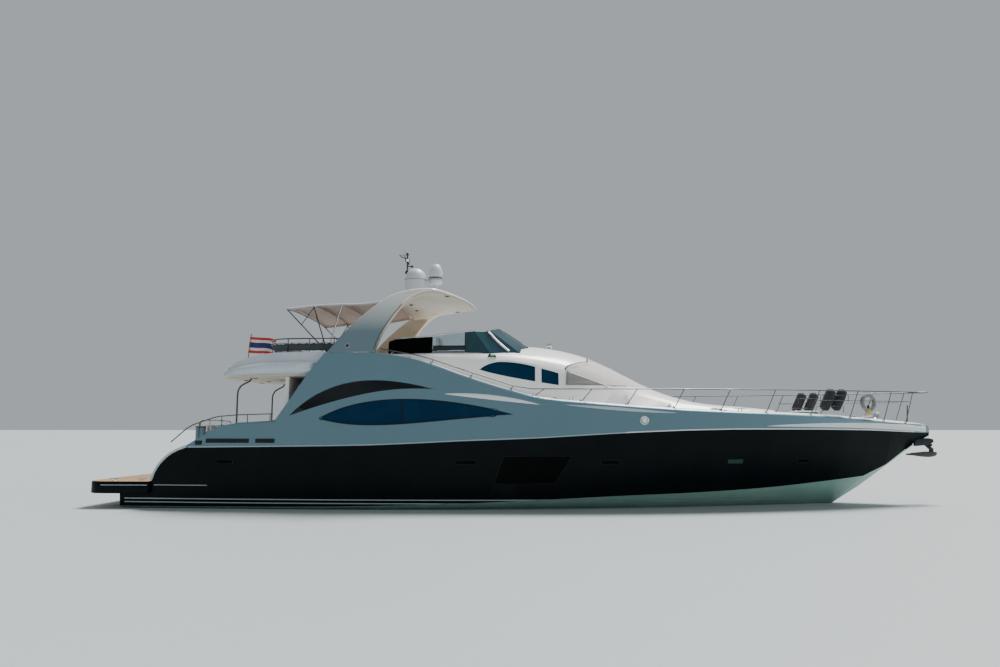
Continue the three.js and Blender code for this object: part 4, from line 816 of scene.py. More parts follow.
def loft(
    bm: Mesh, rings: Sequence[Sequence[Sequence[float]]], closed: bool = True, caps: bool = False,
) -> None:
    """Bridges rings of points, one to the next.

    Args:
        bm: the mesh that the surface goes into.
        rings: the points of each ring, as many in each.
        closed: whether each ring's end meets its start.
        caps: whether the first and last rings are filled.
    """
    made = []
    for ring in rings:
        verts = [bm.verts.new(p) for p in ring]
        pairs = list(zip(verts, verts[1:])) + ([(verts[-1], verts[0])] if closed else [])
        made.append([bm.edges.new(pair) for pair in pairs])
    for near, far in zip(made, made[1:]):
        bmesh.ops.bridge_loops(bm, edges=near + far)
    if caps:
        for ring in (made[0], made[-1]):
            bmesh.ops.contextual_create(bm, geom=ring)
    bmesh.ops.recalc_face_normals(bm, faces=bm.faces[:])


def plate(
    bm: Mesh, outline: Run, thick: float, place: Callable[[float, float], Point],
    lift: Sequence[float],
) -> None:
    """Adds a flat plate from an outline, put in place point by point and then thickened.

    Args:
        bm: the mesh that it goes into.
        outline: the outline's own coordinates.
        thick: how far its back lies behind its front.
        place: turns an outline point into a point of the boat.
        lift: the direction from the front to the back.
    """
    face = bm.faces.new([bm.verts.new(place(u, v)) for u, v in outline])
    made = bmesh.ops.extrude_face_region(bm, geom=[face])["geom"]
    moved = [v for v in made if isinstance(v, bmesh.types.BMVert)]
    bmesh.ops.translate(bm, vec=Vector(lift).normalized() * thick, verts=moved)
    bmesh.ops.recalc_face_normals(bm, faces=bm.faces[:])


@cache
def surface(node: str) -> BVHTree:
    """A CAD node's surface, for straight lines to meet."""
    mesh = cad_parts[node].data
    return BVHTree.FromPolygons([v.co for v in mesh.vertices], [p.vertices for p in mesh.polygons])


def probe(node: str, start: Sequence[float], direction: Sequence[float]) -> Vector:
    """Where a straight line first meets a CAD node's surface."""
    where = surface(node).ray_cast(Vector(start), Vector(direction))[0]
    if where is None:
        raise ValueError(f"nothing of {node} lies from {tuple(start)} along {tuple(direction)}")
    return where


def side_point(node: str, x: float, z: float, side: int, proud: float = 0.0) -> Vector:
    """The point of a node's outer side at a length and height, moved out by a little."""
    found = probe(node, (x, side * 6.0, z), (0, -side, 0))
    return found + Vector((0, side * proud, 0))


def deck_point(node: str, x: float, y: float, proud: float = 0.0) -> Vector:
    """The point of a node's top at a place in plan, raised by a little."""
    return probe(node, (x, y, 12.0), (0, 0, -1)) + Vector((0, 0, proud))


def along(table: Run, x: float) -> float:
    """A value read from a short table of (x, value), on straight lines between its rows."""
    for (x0, low), (x1, high) in zip(table, table[1:]):
        if x <= x1:
            return low + (high - low) * max(x - x0, 0.0) / (x1 - x0)
    return table[-1][1]


def paint_faces(bm: Mesh, chosen: Callable[[bmesh.types.BMFace], bool], index: int) -> None:
    """Gives the faces that a test picks a material index."""
    for face in bm.faces:
        if chosen(face):
            face.material_index = index


def bezier_run(marks: Run, steps: int = 16) -> list[tuple[float, float]]:
    """Points along a cubic curve from its start, two handles and end."""
    start, leave, arrive, end = (Vector((u, v, 0.0)) for u, v in marks)
    return [(p.x, p.y) for p in interpolate_bezier(start, leave, arrive, end, steps)]


def between(low: Run, high: Run, share: float) -> list[tuple[float, float]]:
    """Points part of the way from one run to another of as many points."""
    return [(a + (c - a) * share, b + (d - b) * share) for (a, b), (c, d) in zip(low, high)]


def on_side(node: str, run: Run, side: int, proud: float = 0.0) -> list[Vector]:
    """A run of (x, z) laid onto a node's outer side."""
    return [side_point(node, x, z, side, proud) for x, z in run]


def resurfaced(
    bm: Mesh, voxel: float, rounds: int, free: Callable[[Vector], bool] = lambda place: True,
) -> Mesh:
    """One even skin over a closed mesh, with its corners softened.

    Args:
        bm: the closed mesh, which is freed.
        voxel: the size of the new skin's faces.
        rounds: how many times the corners are smoothed.
        free: whether a point may move.

    Returns:
        The new mesh.
    """
    mesh = bpy.data.meshes.new("skin")
    bm.to_mesh(mesh)
    bm.free()
    holder = bpy.data.objects.new("skin", mesh)
    bpy.context.scene.collection.objects.link(holder)
    remesh = holder.modifiers.new("skin", "REMESH")
    remesh.mode = "VOXEL"
    remesh.voxel_size = voxel
    skin = bpy.data.meshes.new_from_object(holder.evaluated_get(bpy.context.evaluated_depsgraph_get()))
    made = bmesh.new()
    made.from_mesh(skin)
    bpy.data.objects.remove(holder)
    for spare in (skin, mesh):
        bpy.data.meshes.remove(spare)
    loose = [v for v in made.verts if free(v.co)]
    for _ in range(rounds):
        bmesh.ops.smooth_vert(
            made, verts=loose, factor=0.5, use_axis_x=True, use_axis_y=True, use_axis_z=True,
        )
    return made


def cloth_grid(
    bm: Mesh, across: int, along_it: int, place: Callable[[float, float], Sequence[float]],
) -> None:
    """Adds a grid of quads with its own UV map, each point put in its place.

    Args:
        bm: the mesh that it goes into.
        across: how many faces the first direction has.
        along_it: how many faces the second has.
        place: turns two shares from 0 to 1 into a point of the boat.
    """
    bm.loops.layers.uv.verify()
    made = bmesh.ops.create_grid(bm, x_segments=across, y_segments=along_it, size=1.0, calc_uvs=True)["verts"]
    for vert in made:
        vert.co = place((vert.co.x + 1) / 2, (vert.co.y + 1) / 2)


def lens(
    bm: Mesh, node: str, run: Run, side: int, width: float, proud: float,
    full_end: bool = False,
) -> None:
    """Adds a moulded ridge on a side, running out at both ends, or widest at its forward end."""
    last = len(run) - 1
    rings = []
    for i, (x, z) in enumerate(run):
        swell = max(math.sin(math.pi * i / last * (0.5 if full_end else 1.0)), 0.04) ** 0.7
        rings.append([
            tuple(side_point(node, x, z + width * swell * up, side, proud * swell * out - 0.004))
            for up, out in ((-0.5, 0.0), (-0.32, 0.6), (0.0, 1.0), (0.32, 0.6), (0.5, 0.0))
        ])
    loft(bm, rings, closed=False)


def slab(
    bm: Mesh, node: str, outline: Run, side: int, thick: float, proud: float,
) -> None:
    """Adds a thin plate with an outline in side view, laid on a node's outer side."""
    place = lambda u, v: tuple(side_point(node, u, v, side, proud))
    plate(bm, outline, thick, place, (0, side, 0))


def rounded_outline(
    x0: float, x1: float, z0: float, z1: float, radius: float, steps: int = 4,
) -> list[tuple[float, float]]:
    """A rectangle's outline with round corners."""
    points = []
    for cx, cz, start in (
        (x1 - radius, z1 - radius, 0), (x0 + radius, z1 - radius, 90), (x0 + radius, z0 + radius, 180),
        (x1 - radius, z0 + radius, 270),
    ):
        for i in range(steps + 1):
            turn = math.radians(start + 90 * i / steps)
            points.append((cx + radius * math.cos(turn), cz + radius * math.sin(turn)))
    return points


def add_cleat(bm: Mesh, foot: Sequence[float], heading: float = 0.0, size: float = 0.3) -> None:
    """Adds a two-horned mooring cleat, its horns along X unless it is turned."""
    before = set(bm.verts)
    horn = [
        (-size / 2, 0, size * 0.27), (-size * 0.2, 0, size * 0.22), (size * 0.2, 0, size * 0.22),
        (size / 2, 0, size * 0.27),
    ]
    add_tube(bm, horn, size * 0.05)
    for x in (-size * 0.14, size * 0.14):
        add_turned(
            bm, [(size * 0.1, 0.0), (size * 0.05, size * 0.06), (size * 0.045, size * 0.22)], (x, 0, 0), 12,
        )
    made = [v for v in bm.verts if v not in before]
    bmesh.ops.transform(
        bm, matrix=Matrix.Translation(Vector(foot)) @ Matrix.Rotation(heading, 4, "Z"), verts=made,
    )


def add_rim(bm: Mesh, points: Sequence[Sequence[float]], radius: float) -> None:
    """Adds a thin closed tube that runs straight between its points, for a seal, rim or welt."""
    add_tube(bm, points, radius, closed=True, bend=Bend.STRAIGHT, sides=6)


def full_turn(steps: int) -> list[float]:
    """Angles spread evenly round a circle."""
    return [math.tau * i / steps for i in range(steps)]


def everything(bm: Mesh) -> list[object]:
    """All the vertices, edges and faces of a mesh."""
    return bm.verts[:] + bm.edges[:] + bm.faces[:]


def split_across(bm: Mesh, x: float) -> None:
    """Cuts every face of a mesh along a plane across the boat."""
    bmesh.ops.bisect_plane(bm, geom=everything(bm), dist=1e-5, plane_co=(x, 0, 0), plane_no=(1, 0, 0))


def closer(ring: Sequence[Sequence[float]], step: float) -> list[Vector]:
    """A closed ring of flat points with more points between those that are far apart."""
    made = []
    for here, there in zip(ring, list(ring[1:]) + [ring[0]]):
        here, there = Vector(here), Vector(there)
        count = max(1, round((there - here).length / step))
        made += [here.lerp(there, i / count) for i in range(count)]
    return made


def thickened(made: bpy.types.Object, thickness: float, name: str = "cloth", **settings: object) -> None:
    """Gives an open sheet its thickness."""
    skin = made.modifiers.new(name, "SOLIDIFY")
    skin.thickness = thickness
    for setting, value in settings.items():
        setattr(skin, setting, value)


# Sub-assemblies


@dataclass
class Hull:
    """Topsides, bottom, stern and what is let into them."""

    stripe_heights: tuple[float, float] = (0.17, 0.275)
    stripe_width: float = 0.03
    stripe_aft: float = -11.95
    stripe_fore: float = 8.2
    ports: Table = ((-9.04, -8.53), (-1.91, -1.3), (2.33, 2.88), (8.4, 8.79))
    lit_port: tuple[float, float] = (6.14, 6.61)
    port_z: float = 1.39
    port_height: float = 0.12
    window: Table = ((-0.78, 0.78), (0.98, 0.78), (1.45, 1.55), (-0.49, 1.55))
    chine: Table = (
        (-12.1, 0.04), (-4.4, 0.1), (-0.65, 0.22), (3.3, 0.39), (7.7, 0.57), (10.8, 0.85), (11.6, 1.2),
        (12.3, 1.69),
        (13.1, 2.15),
    )
    knuckle: Table = (
        (-9.9, 1.797), (-7.3, 1.825), (-4.4, 1.87), (-3.0, 1.93), (-1.8, 1.99), (0.55, 2.08), (1.9, 2.16),
        (3.3, 2.24), (4.8, 2.3), (6.3, 2.33), (8.9, 2.33), (10.8, 2.305), (12.3, 2.25), (12.7, 2.235),
    )
    stern_curve: Table = (
        (-11.1, 0.83), (-10.94, 1.16), (-10.7, 1.45), (-10.38, 1.68), (-9.98, 1.84),
    )
    bottom_slot: tuple[float, float, float, float] = (-8.62, -4.18, 1.25, 1.8)
    rub_line_z: float = 0.69
    rub_line: tuple[float, ...] = (-11.0, -10.4, -9.9, -9.33)

    def build(self) -> None:
        """Makes every piece of the hull."""
        self.shell()
        self.bottom_plates()
        self.windows()
        self.platform()
        self.lines()
        self.small_ports()
        self.stern_gear()

    def shell(self) -> None:
        """Black above the chine, pale below it, teak on the cockpit sole and the stern steps."""
        bm = dissolved_copy("hull", 0.05)
        paint_faces(bm, self.below_chine, 1)
        paint_faces(bm, lambda f: f.normal.z > 0.9 and f.calc_center_median().x < -7.0, 2)
        made = piece("hull_skin", bm, (BLACK_GLOSS, BOTTOM_WITH_PAINTED_SHADE, TEAK), "boat", ("hull",), 24.0)
        even_normals(made)

    def bottom_plates(self) -> None:
        """A plate on each side that closes the bottom where the engine room's cut comes through it."""
        for side, label in SIDE_NAMES.items():
            bm = bmesh.new()
            cloth_grid(bm, 24, 3, lambda ahead, out: self.bottom_point(side, ahead, out))
            made = piece(f"bottom_plate_{label}", bm, BOTTOM_WITH_PAINTED_SHADE, smooth=None)
            thickened(made, 0.016, "plate", offset=0.0)

    def bottom_point(self, side: int, ahead: float, out: float) -> Point:
        """A point of the fair bottom across the cut, between the sound edges on its two sides."""
        aft, fore, inner, outer = self.bottom_slot
        x = aft + (fore - aft) * ahead
        low, high = (
            surface("hull").ray_cast(
                Vector((x, side * edge, -4.0)), Vector((0, 0, 1)),
            )[0].z for edge in (inner, outer)
        )
        return (x, side * (inner + (outer - inner) * out), low + (high - low) * out + 0.006)

    def below_chine(self, face: bmesh.types.BMFace) -> bool:
        """Whether a face lies under the chine."""
        middle = face.calc_center_median()
        return middle.z < along(self.chine, middle.x) + 0.02

    def windows(self) -> None:
        """The big dark pane on each side and its gasket."""
        gasket = bmesh.new()
        for side, label in SIDE_NAMES.items():
            dressed(f"hull_window_{label}", BLACK_GLASS)
            rim = [(x * 1.012, z + 0.008 * (1 if z > 1 else -1)) for x, z in self.window]
            add_tube(gasket, on_side("hull", rim, side, 0.001), 0.007, closed=True, bend=Bend.STRAIGHT)
        piece("hull_window_gaskets", gasket, DARK_METAL)

    def platform(self) -> None:
        """Swim platform: black moulding with a teak top, cleats, sockets and a pale rub line."""
        bm = dissolved_copy("swim_platform")
        eased(bm, corner_edges(bm, 50), 0.03, 3)
        paint_faces(bm, lambda f: f.normal.z > 0.95, 1)
        piece("swim_platform_skin", bm, (BLACK_GLOSS, TEAK), "boat", ("swim_platform",))
        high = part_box("swim_platform")[1]
        line, cleats, pads = bmesh.new(), bmesh.new(), bmesh.new()
        for side in SIDES:
            y = side * (high.y + 0.003)
            add_tube(
                line, [(-12.58, y, self.rub_line_z), (-11.16, y, self.rub_line_z)], 0.013, bend=Bend.STRAIGHT,
            )
            add_tube(line, on_side("hull", [(x, self.rub_line_z) for x in self.rub_line], side, 0.003), 0.013)
            for x in (-12.3, -11.45):
                add_cleat(cleats, (x, side * (high.y - 0.22), high.z), 0.0, 0.26)
            for x in (-12.0, -11.72):
                add_turned(
                    pads, [(0.05, 0.0), (0.05, 0.004), (0.04, 0.007), (0.0, 0.007)], (x, side * 1.1, high.z),
                    20,
                )
        piece("platform_rub_line", line, STRIPE_WITH_PAINTED_SHADE)
        piece("platform_cleats", cleats, STAINLESS)
        piece("platform_sockets", pads, STAINLESS)

    def lines(self) -> None:
        """Two pale lines just above the water, a bead along the knuckle, near-white forward as painted
        highlight, and the stern's pale edge.
        """
        bm = bmesh.new()
        steps = 60
        for side in SIDES:
            for height in self.stripe_heights:
                rows = []
                for i in range(steps + 1):
                    x = self.stripe_aft + (self.stripe_fore - self.stripe_aft) * i / steps
                    low = side_point("hull", x, height, side, 0.006)
                    high = side_point("hull", x, height + self.stripe_width, side, 0.006)
                    rows.append([tuple(low), tuple(high)])
                loft(bm, rows, closed=False)
        bmesh.ops.solidify(bm, geom=bm.faces[:], thickness=0.004)
        piece("boot_stripes", bm, STRIPE_WITH_PAINTED_SHADE)
        bead, bright = bmesh.new(), bmesh.new()
        for side in SIDES:
            run = [self.knuckle[0][0] + 0.35 * i for i in range(65)]
            points = on_side(
                "superstructure", [(x, along(self.knuckle, x) + 0.022) for x in run if x < 12.7], side,
            )
            add_tube(bead, points[:38], 0.012, sides=6)
            # The bead's forward part is near-white: a painted highlight along the bow.
            add_tube(bright, points[37:], 0.018, sides=6)
            edge = [
                (x, side * (abs(side_point("hull", x + 0.06, z - 0.07, side).y) - 0.012), z)
                for x, z in self.stern_curve
            ]
            add_tube(bead, edge, 0.042)
        piece("knuckle_beads", bead, PALE_BEAD_AND_PAINTED_HIGHLIGHT)
        piece("bow_beads_painted_highlight", bright, PAINTED_HIGHLIGHT)

    def small_ports(self) -> None:
        """Small dark ports let into the topsides, one of them green."""
        glass, green, rims = bmesh.new(), bmesh.new(), bmesh.new()
        tall = self.port_height / 2
        for side in SIDES:
            for x0, x1 in (*self.ports, self.lit_port):
                outline = rounded_outline(x0, x1, self.port_z - tall, self.port_z + tall, 0.03)
                add_rim(rims, on_side("hull", outline, side, 0.001), 0.007)
                slab(green if x0 == self.lit_port[0] else glass, "hull", outline, side, 0.004, 0.0)
        piece("port_glass", glass, BLACK_GLASS)
        piece("green_port_glass", green, GREEN_GLASS)
        piece("port_rims", rims, DARK_TRIM)

    def stern_gear(self) -> None:
        """Hinges, handle and seal of the garage door, and the lights of the steps."""
        low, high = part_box("garage_door")
        door, seal, lights = bmesh.new(), bmesh.new(), bmesh.new()
        for y in (-0.9, 0.9):
            add_bar(
                door, (low.x - 0.004, y - 0.09, high.z - 0.02), (low.x - 0.004, y + 0.09, high.z - 0.02),
                0.012,
            )
        add_tube(
            door,
            [
                (low.x + 0.002, -0.11, low.z + 0.1), (low.x - 0.03, -0.08, low.z + 0.1),
                (low.x - 0.03, 0.08, low.z + 0.1), (low.x + 0.002, 0.11, low.z + 0.1),
            ],
            0.01,
        )
        piece("garage_door_fittings", door, STAINLESS, "garage_door")
        edge = rounded_outline(low.y - 0.02, high.y + 0.02, low.z - 0.02, high.z + 0.02, 0.04)
        add_rim(seal, [(low.x - 0.004, y, z) for y, z in edge], 0.01)
        piece("garage_door_seal", seal, BLACK_RUBBER)
        for side in SIDES:
            for i in range(3):
                x = -10.85 + 0.25 * i
                z = 0.8 + 0.225 * (i + 1) - 0.09
                add_turned(
                    lights, [(0.03, 0.0), (0.03, 0.003), (0.024, 0.006), (0.0, 0.006)],
                    (x - 0.001, side * 1.95, z), 16, (-1, 0, 0),
                )
        piece("step_lights", lights, LENS)


@dataclass
class RunningGear:
    """Screws, shafts, struts and rudders."""

    screw: Point = (-9.15, 1.05, -1.18)
    rake: float = 6.0

    def build(self) -> None:
        """Dresses each piece on its own body."""
        for side, label in SIDE_NAMES.items():
            screw = f"{label}_screw"
            dressed(f"propeller_{label}", BRONZE, screw, smooth=40, ease=0.004, corner=60)
            dressed(f"shaft_{label}", SHAFT_STEEL, screw, smooth=40)
            dressed(f"strut_{label}", BRONZE, ease=0.012, segments=3)
            dressed(f"rudder_{label}", BRONZE, f"{label}_rudder", ease=0.006)
            self.engine(side, label)
            self.nut(side, label, screw)

    def engine(self, side: int, label: str) -> None:
        """An engine block, its lower outer corner cut back to clear the bottom."""
        bm = dissolved_copy(f"engine_{label}")
        cut = bmesh.ops.bisect_plane(
            bm, geom=everything(bm), plane_co=(0, side * 1.3, -0.5),
            plane_no=(0, side * 0.42, -0.91), clear_outer=True,
        )["geom_cut"]
        bmesh.ops.contextual_create(bm, geom=[part for part in cut if isinstance(part, bmesh.types.BMEdge)])
        eased(bm, corner_edges(bm, 35), 0.03, 2)
        piece(f"engine_{label}_skin", bm, IRON, stands_for=(f"engine_{label}",))

    def nut(self, side: int, label: str, screw: str) -> None:
        """The nut and its tapered anode behind the screw."""
        x, y, z = self.screw
        rake = math.radians(self.rake)
        ahead = Vector((math.cos(rake), 0.0, math.sin(rake)))
        bm = bmesh.new()
        profile = [(0.0, 0.0), (0.03, 0.012), (0.045, 0.05), (0.05, 0.09), (0.05, 0.1)]
        add_turned(bm, profile, Vector((x, side * y, z)) - ahead * 0.26, 20, ahead)
        piece(f"shaft_anode_{label}", bm, SHAFT_STEEL, screw)


@dataclass
class UpperWorks:
    """Cabin sides, roof, arch and flybridge mouldings."""

    vents: tuple[Point, ...] = ((-9.37, -8.05, 0.0), (-7.84, -7.27, 0.0), (-9.7, -9.5, 0.06))
    vent_z: tuple[float, float] = (1.95, 2.06)
    ridge: Table = ((-2.3, 3.38), (-1.3, 3.34), (-0.4, 3.24), (0.6, 3.05))
    ledge: Table = ((1.2, 3.06), (2.4, 2.97), (3.4, 2.88), (4.7, 2.81))
    bulwark: Table = ((6.9, 2.43), (8.8, 2.47), (10.8, 2.51), (12.97, 2.345))
    round_port: tuple[float, float] = (3.6, 2.6)
    arch_inner: Table = ((-3.65, 6.17), (-3.95, 5.78), (-4.29, 5.19), (-4.47, 4.72))
    arch_voxel: float = 0.03
    leg_fitting: tuple[float, float] = (-5.27, 4.86)
    downlights: Table = ((-2.35, 1.6), (-3.7, 0.6))
    overhang_lights: Table = ((-9.1, 0.7), (-8.4, 1.7), (-8.6, 0.0), (-7.8, 0.9))

    def build(self) -> None:
        """Makes the mouldings."""
        self.sides()
        self.side_fittings()
        self.roof()
        self.flybridge()
        self.side_lockers()
        self.arch()
        self.lights()
        dressed("transom_coaming", SILVER_WITH_PAINTED_SHADE, ease=0.05, segments=4)
        dressed("garage_door", SILVER_WITH_PAINTED_SHADE, "garage_door", ease=0.008)
        dressed("aft_bulkhead", WHITE, ease=0.01)

    def sides(self) -> None:
        """Silver sides with a white deck, and ridges moulded on them, painted pale as painted highlights."""
        bm = dissolved_copy("superstructure", 0.05)
        paint_faces(bm, lambda f: f.normal.z > 0.85 and f.calc_center_median().x > -4.2, 1)
        made = piece(
            "superstructure_skin", bm, (SILVER_WITH_PAINTED_SHADE, DECK), "boat", ("superstructure",), 25.0,
        )
        even_normals(made)
        bm, ledges = bmesh.new(), bmesh.new()
        for side in SIDES:
            lens(ledges, "superstructure", bezier_run(self.ledge, 30), side, 0.1, 0.022)
            lens(bm, "superstructure", bezier_run(self.ridge, 30), side, 0.15, 0.03)
            lens(bm, "superstructure", bezier_run(self.bulwark, 36), side, 0.21, 0.02, full_end=True)
        # The ridges' near-white and the ledges' pale paint are painted highlights on their lit tops.
        piece("side_ridges_painted_highlight", bm, PAINTED_HIGHLIGHT, smooth=60.0)
        piece("side_ledges_painted_highlight", ledges, PALE_BEAD_AND_PAINTED_HIGHLIGHT, smooth=60.0)

    def side_fittings(self) -> None:
        """Engine room vents, the round ports and the little inlet by the stern."""
        slots, slats, rims, middles = bmesh.new(), bmesh.new(), bmesh.new(), bmesh.new()
        low, high = self.vent_z
        rise = high - low
        for side in SIDES:
            for x0, x1, drop in self.vents:
                run = [(x0 + (x1 - x0) * i / 12, low - drop) for i in range(13)]
                loft(slots, [[
                    tuple(
                        side_point("superstructure", x, z + rise * share, side, 0.007),
                    ) for share in (0.0, 0.5, 1.0)
                ] for x, z in run], closed=False)
                edge = [*run, *((x, z + rise) for x, z in reversed(run))]
                add_rim(slats, on_side("superstructure", edge, side, 0.008), 0.008)
                for share in (0.3, 0.7):
                    add_tube(
                        slats,
                        on_side("superstructure", [(x, z + rise * share) for x, z in run[1:-1]], side, 0.012),
                        0.006, sides=6,
                    )
            x, z = self.round_port
            seat = side_point("superstructure", x, z, side, -0.004)
            add_turned(
                rims, [(0.085, 0.004), (0.09, 0.02), (0.115, 0.026), (0.13, 0.016), (0.132, 0.0)], seat, 36,
                (0, side, 0.1),
            )
            add_turned(middles, [(0.0, 0.016), (0.06, 0.014), (0.088, 0.006)], seat, 36, (0, side, 0.1))
        bmesh.ops.solidify(slots, geom=slots.faces[:], thickness=0.004)
        piece("side_vents", slots, DARK_TRIM)
        piece("side_vent_slats", slats, DARK_METAL)
        piece("side_fitting_rims", rims, STAINLESS)
        piece("round_port_covers", middles, WHITE)

    def roof(self) -> None:
        """White roof and foredeck trunk."""
        bm = dissolved_copy("cabin_roof", 0.05)
        even_normals(piece("cabin_roof_skin", bm, WHITE, "boat", ("cabin_roof",), 30.0))

    def flybridge(self) -> None:
        """Silver moulding, paler towards its top as painted light, with a cream underside, a white well and a
        teak sole.
        """
        bm = dissolved_copy("flybridge", 0.05)
        paint_faces(bm, lambda f: f.normal.z < -0.8, 1)
        paint_faces(bm, lambda f: f.normal.z > 0.95 and abs(f.calc_center_median().z - 4.1) < 0.01, 2)
        paint_faces(bm, self.inside_fly, 3)
        even_normals(
            piece(
                "flybridge_skin", bm, (OVERHANG_SILVER_PAINTED_LIGHT, CREAM, TEAK, WHITE), "boat",
                ("flybridge",), 30.0,
            ),
        )

    def side_lockers(self) -> None:
        """Locker doors in the inner walls of the flybridge, each with a flush latch."""
        doors, latches = bmesh.new(), bmesh.new()
        for side in SIDES:
            for x0, x1 in ((-4.58, -3.22), (-3.16, -2.0)):
                outline = rounded_outline(x0, x1, 4.2, 4.67, 0.05)
                plate(doors, outline, 0.014, lambda u, v, side=side: (u, side * 1.682, v), (0, -side, 0))
                seat = (x1 - 0.12, side * 1.668, 4.44)
                add_turned(
                    latches, [(0.0, 0.002), (0.016, 0.002), (0.02, 0.006), (0.028, 0.005), (0.03, 0.0)],
                    seat, 18, (0, -side, 0),
                )
        eased(doors, corner_edges(doors, 50), 0.004)
        piece("fly_locker_doors", doors, WHITE)
        piece("fly_locker_latches", latches, STAINLESS)

    def inside_fly(self, face: bmesh.types.BMFace) -> bool:
        """Whether a face lines the well of the flybridge."""
        middle = face.calc_center_median()
        inwards = face.normal.x * (middle.x + 5.0) / 4.0 + face.normal.y * middle.y / 2.0
        return middle.z > 4.11 and inwards < -0.2 and abs(face.normal.z) < 0.5

    def arch(self) -> None:
        """Silver arch with softened corners, painted paler towards its top as painted light, cream where it
        faces inwards and under its roof.
        """
        bm = resurfaced(dissolved_copy("radar_arch", 0.1), self.arch_voxel, 14, lambda place: place.z > 4.76)
        piece("radar_arch_skin", bm, ARCH_SILVER_PAINTED_LIGHT, "boat", ("radar_arch",), 60.0)
        painted_shade_line = bmesh.new()
        rings, fitting = bmesh.new(), bmesh.new()
        for side in SIDES:
            # A dark line sunk along each leg's inner fore edge: painted shade along that edge.
            add_tube(painted_shade_line, on_side("radar_arch", self.arch_inner, side, -0.01), 0.012, sides=6)
            seat = side_point("radar_arch", *self.leg_fitting, side, -0.004)
            add_turned(
                rings, [(0.045, 0.0), (0.05, 0.012), (0.065, 0.012), (0.07, 0.0)], seat, 28, (0, side, 0.16),
            )
            add_turned(fitting, [(0.0, 0.012), (0.03, 0.01), (0.047, 0.004)], seat, 24, (0, side, 0.16))
        piece("arch_edge_painted_shade", painted_shade_line, DARK_TRIM)
        piece("arch_fitting_rings", rings, STAINLESS)
        piece("arch_fittings", fitting, BLACK_PLASTIC)

    def lights(self) -> None:
        """Downlights under the hardtop and the aft overhang."""
        rings, lenses = bmesh.new(), bmesh.new()
        places = [("radar_arch", x, y * side, 5.0) for x, y in self.downlights for side in SIDES]
        places += [
            ("flybridge", x, y * side, 2.5)
            for x, y in self.overhang_lights
            for side in SIDES
            if y or side > 0
        ]
        for node, x, y, floor_z in places:
            seat = probe(node, (x, y, floor_z), (0, 0, 1))
            add_turned(
                rings, [(0.05, -0.004), (0.052, 0.012), (0.075, 0.01), (0.08, -0.004)], seat, 24, (0, 0, -1),
            )
            add_turned(lenses, [(0.0, 0.006), (0.051, 0.004)], seat, 24, (0, 0, -1))
        piece("downlight_rings", rings, DARK_METAL)
        piece("downlight_lenses", lenses, BLACK_PLASTIC)


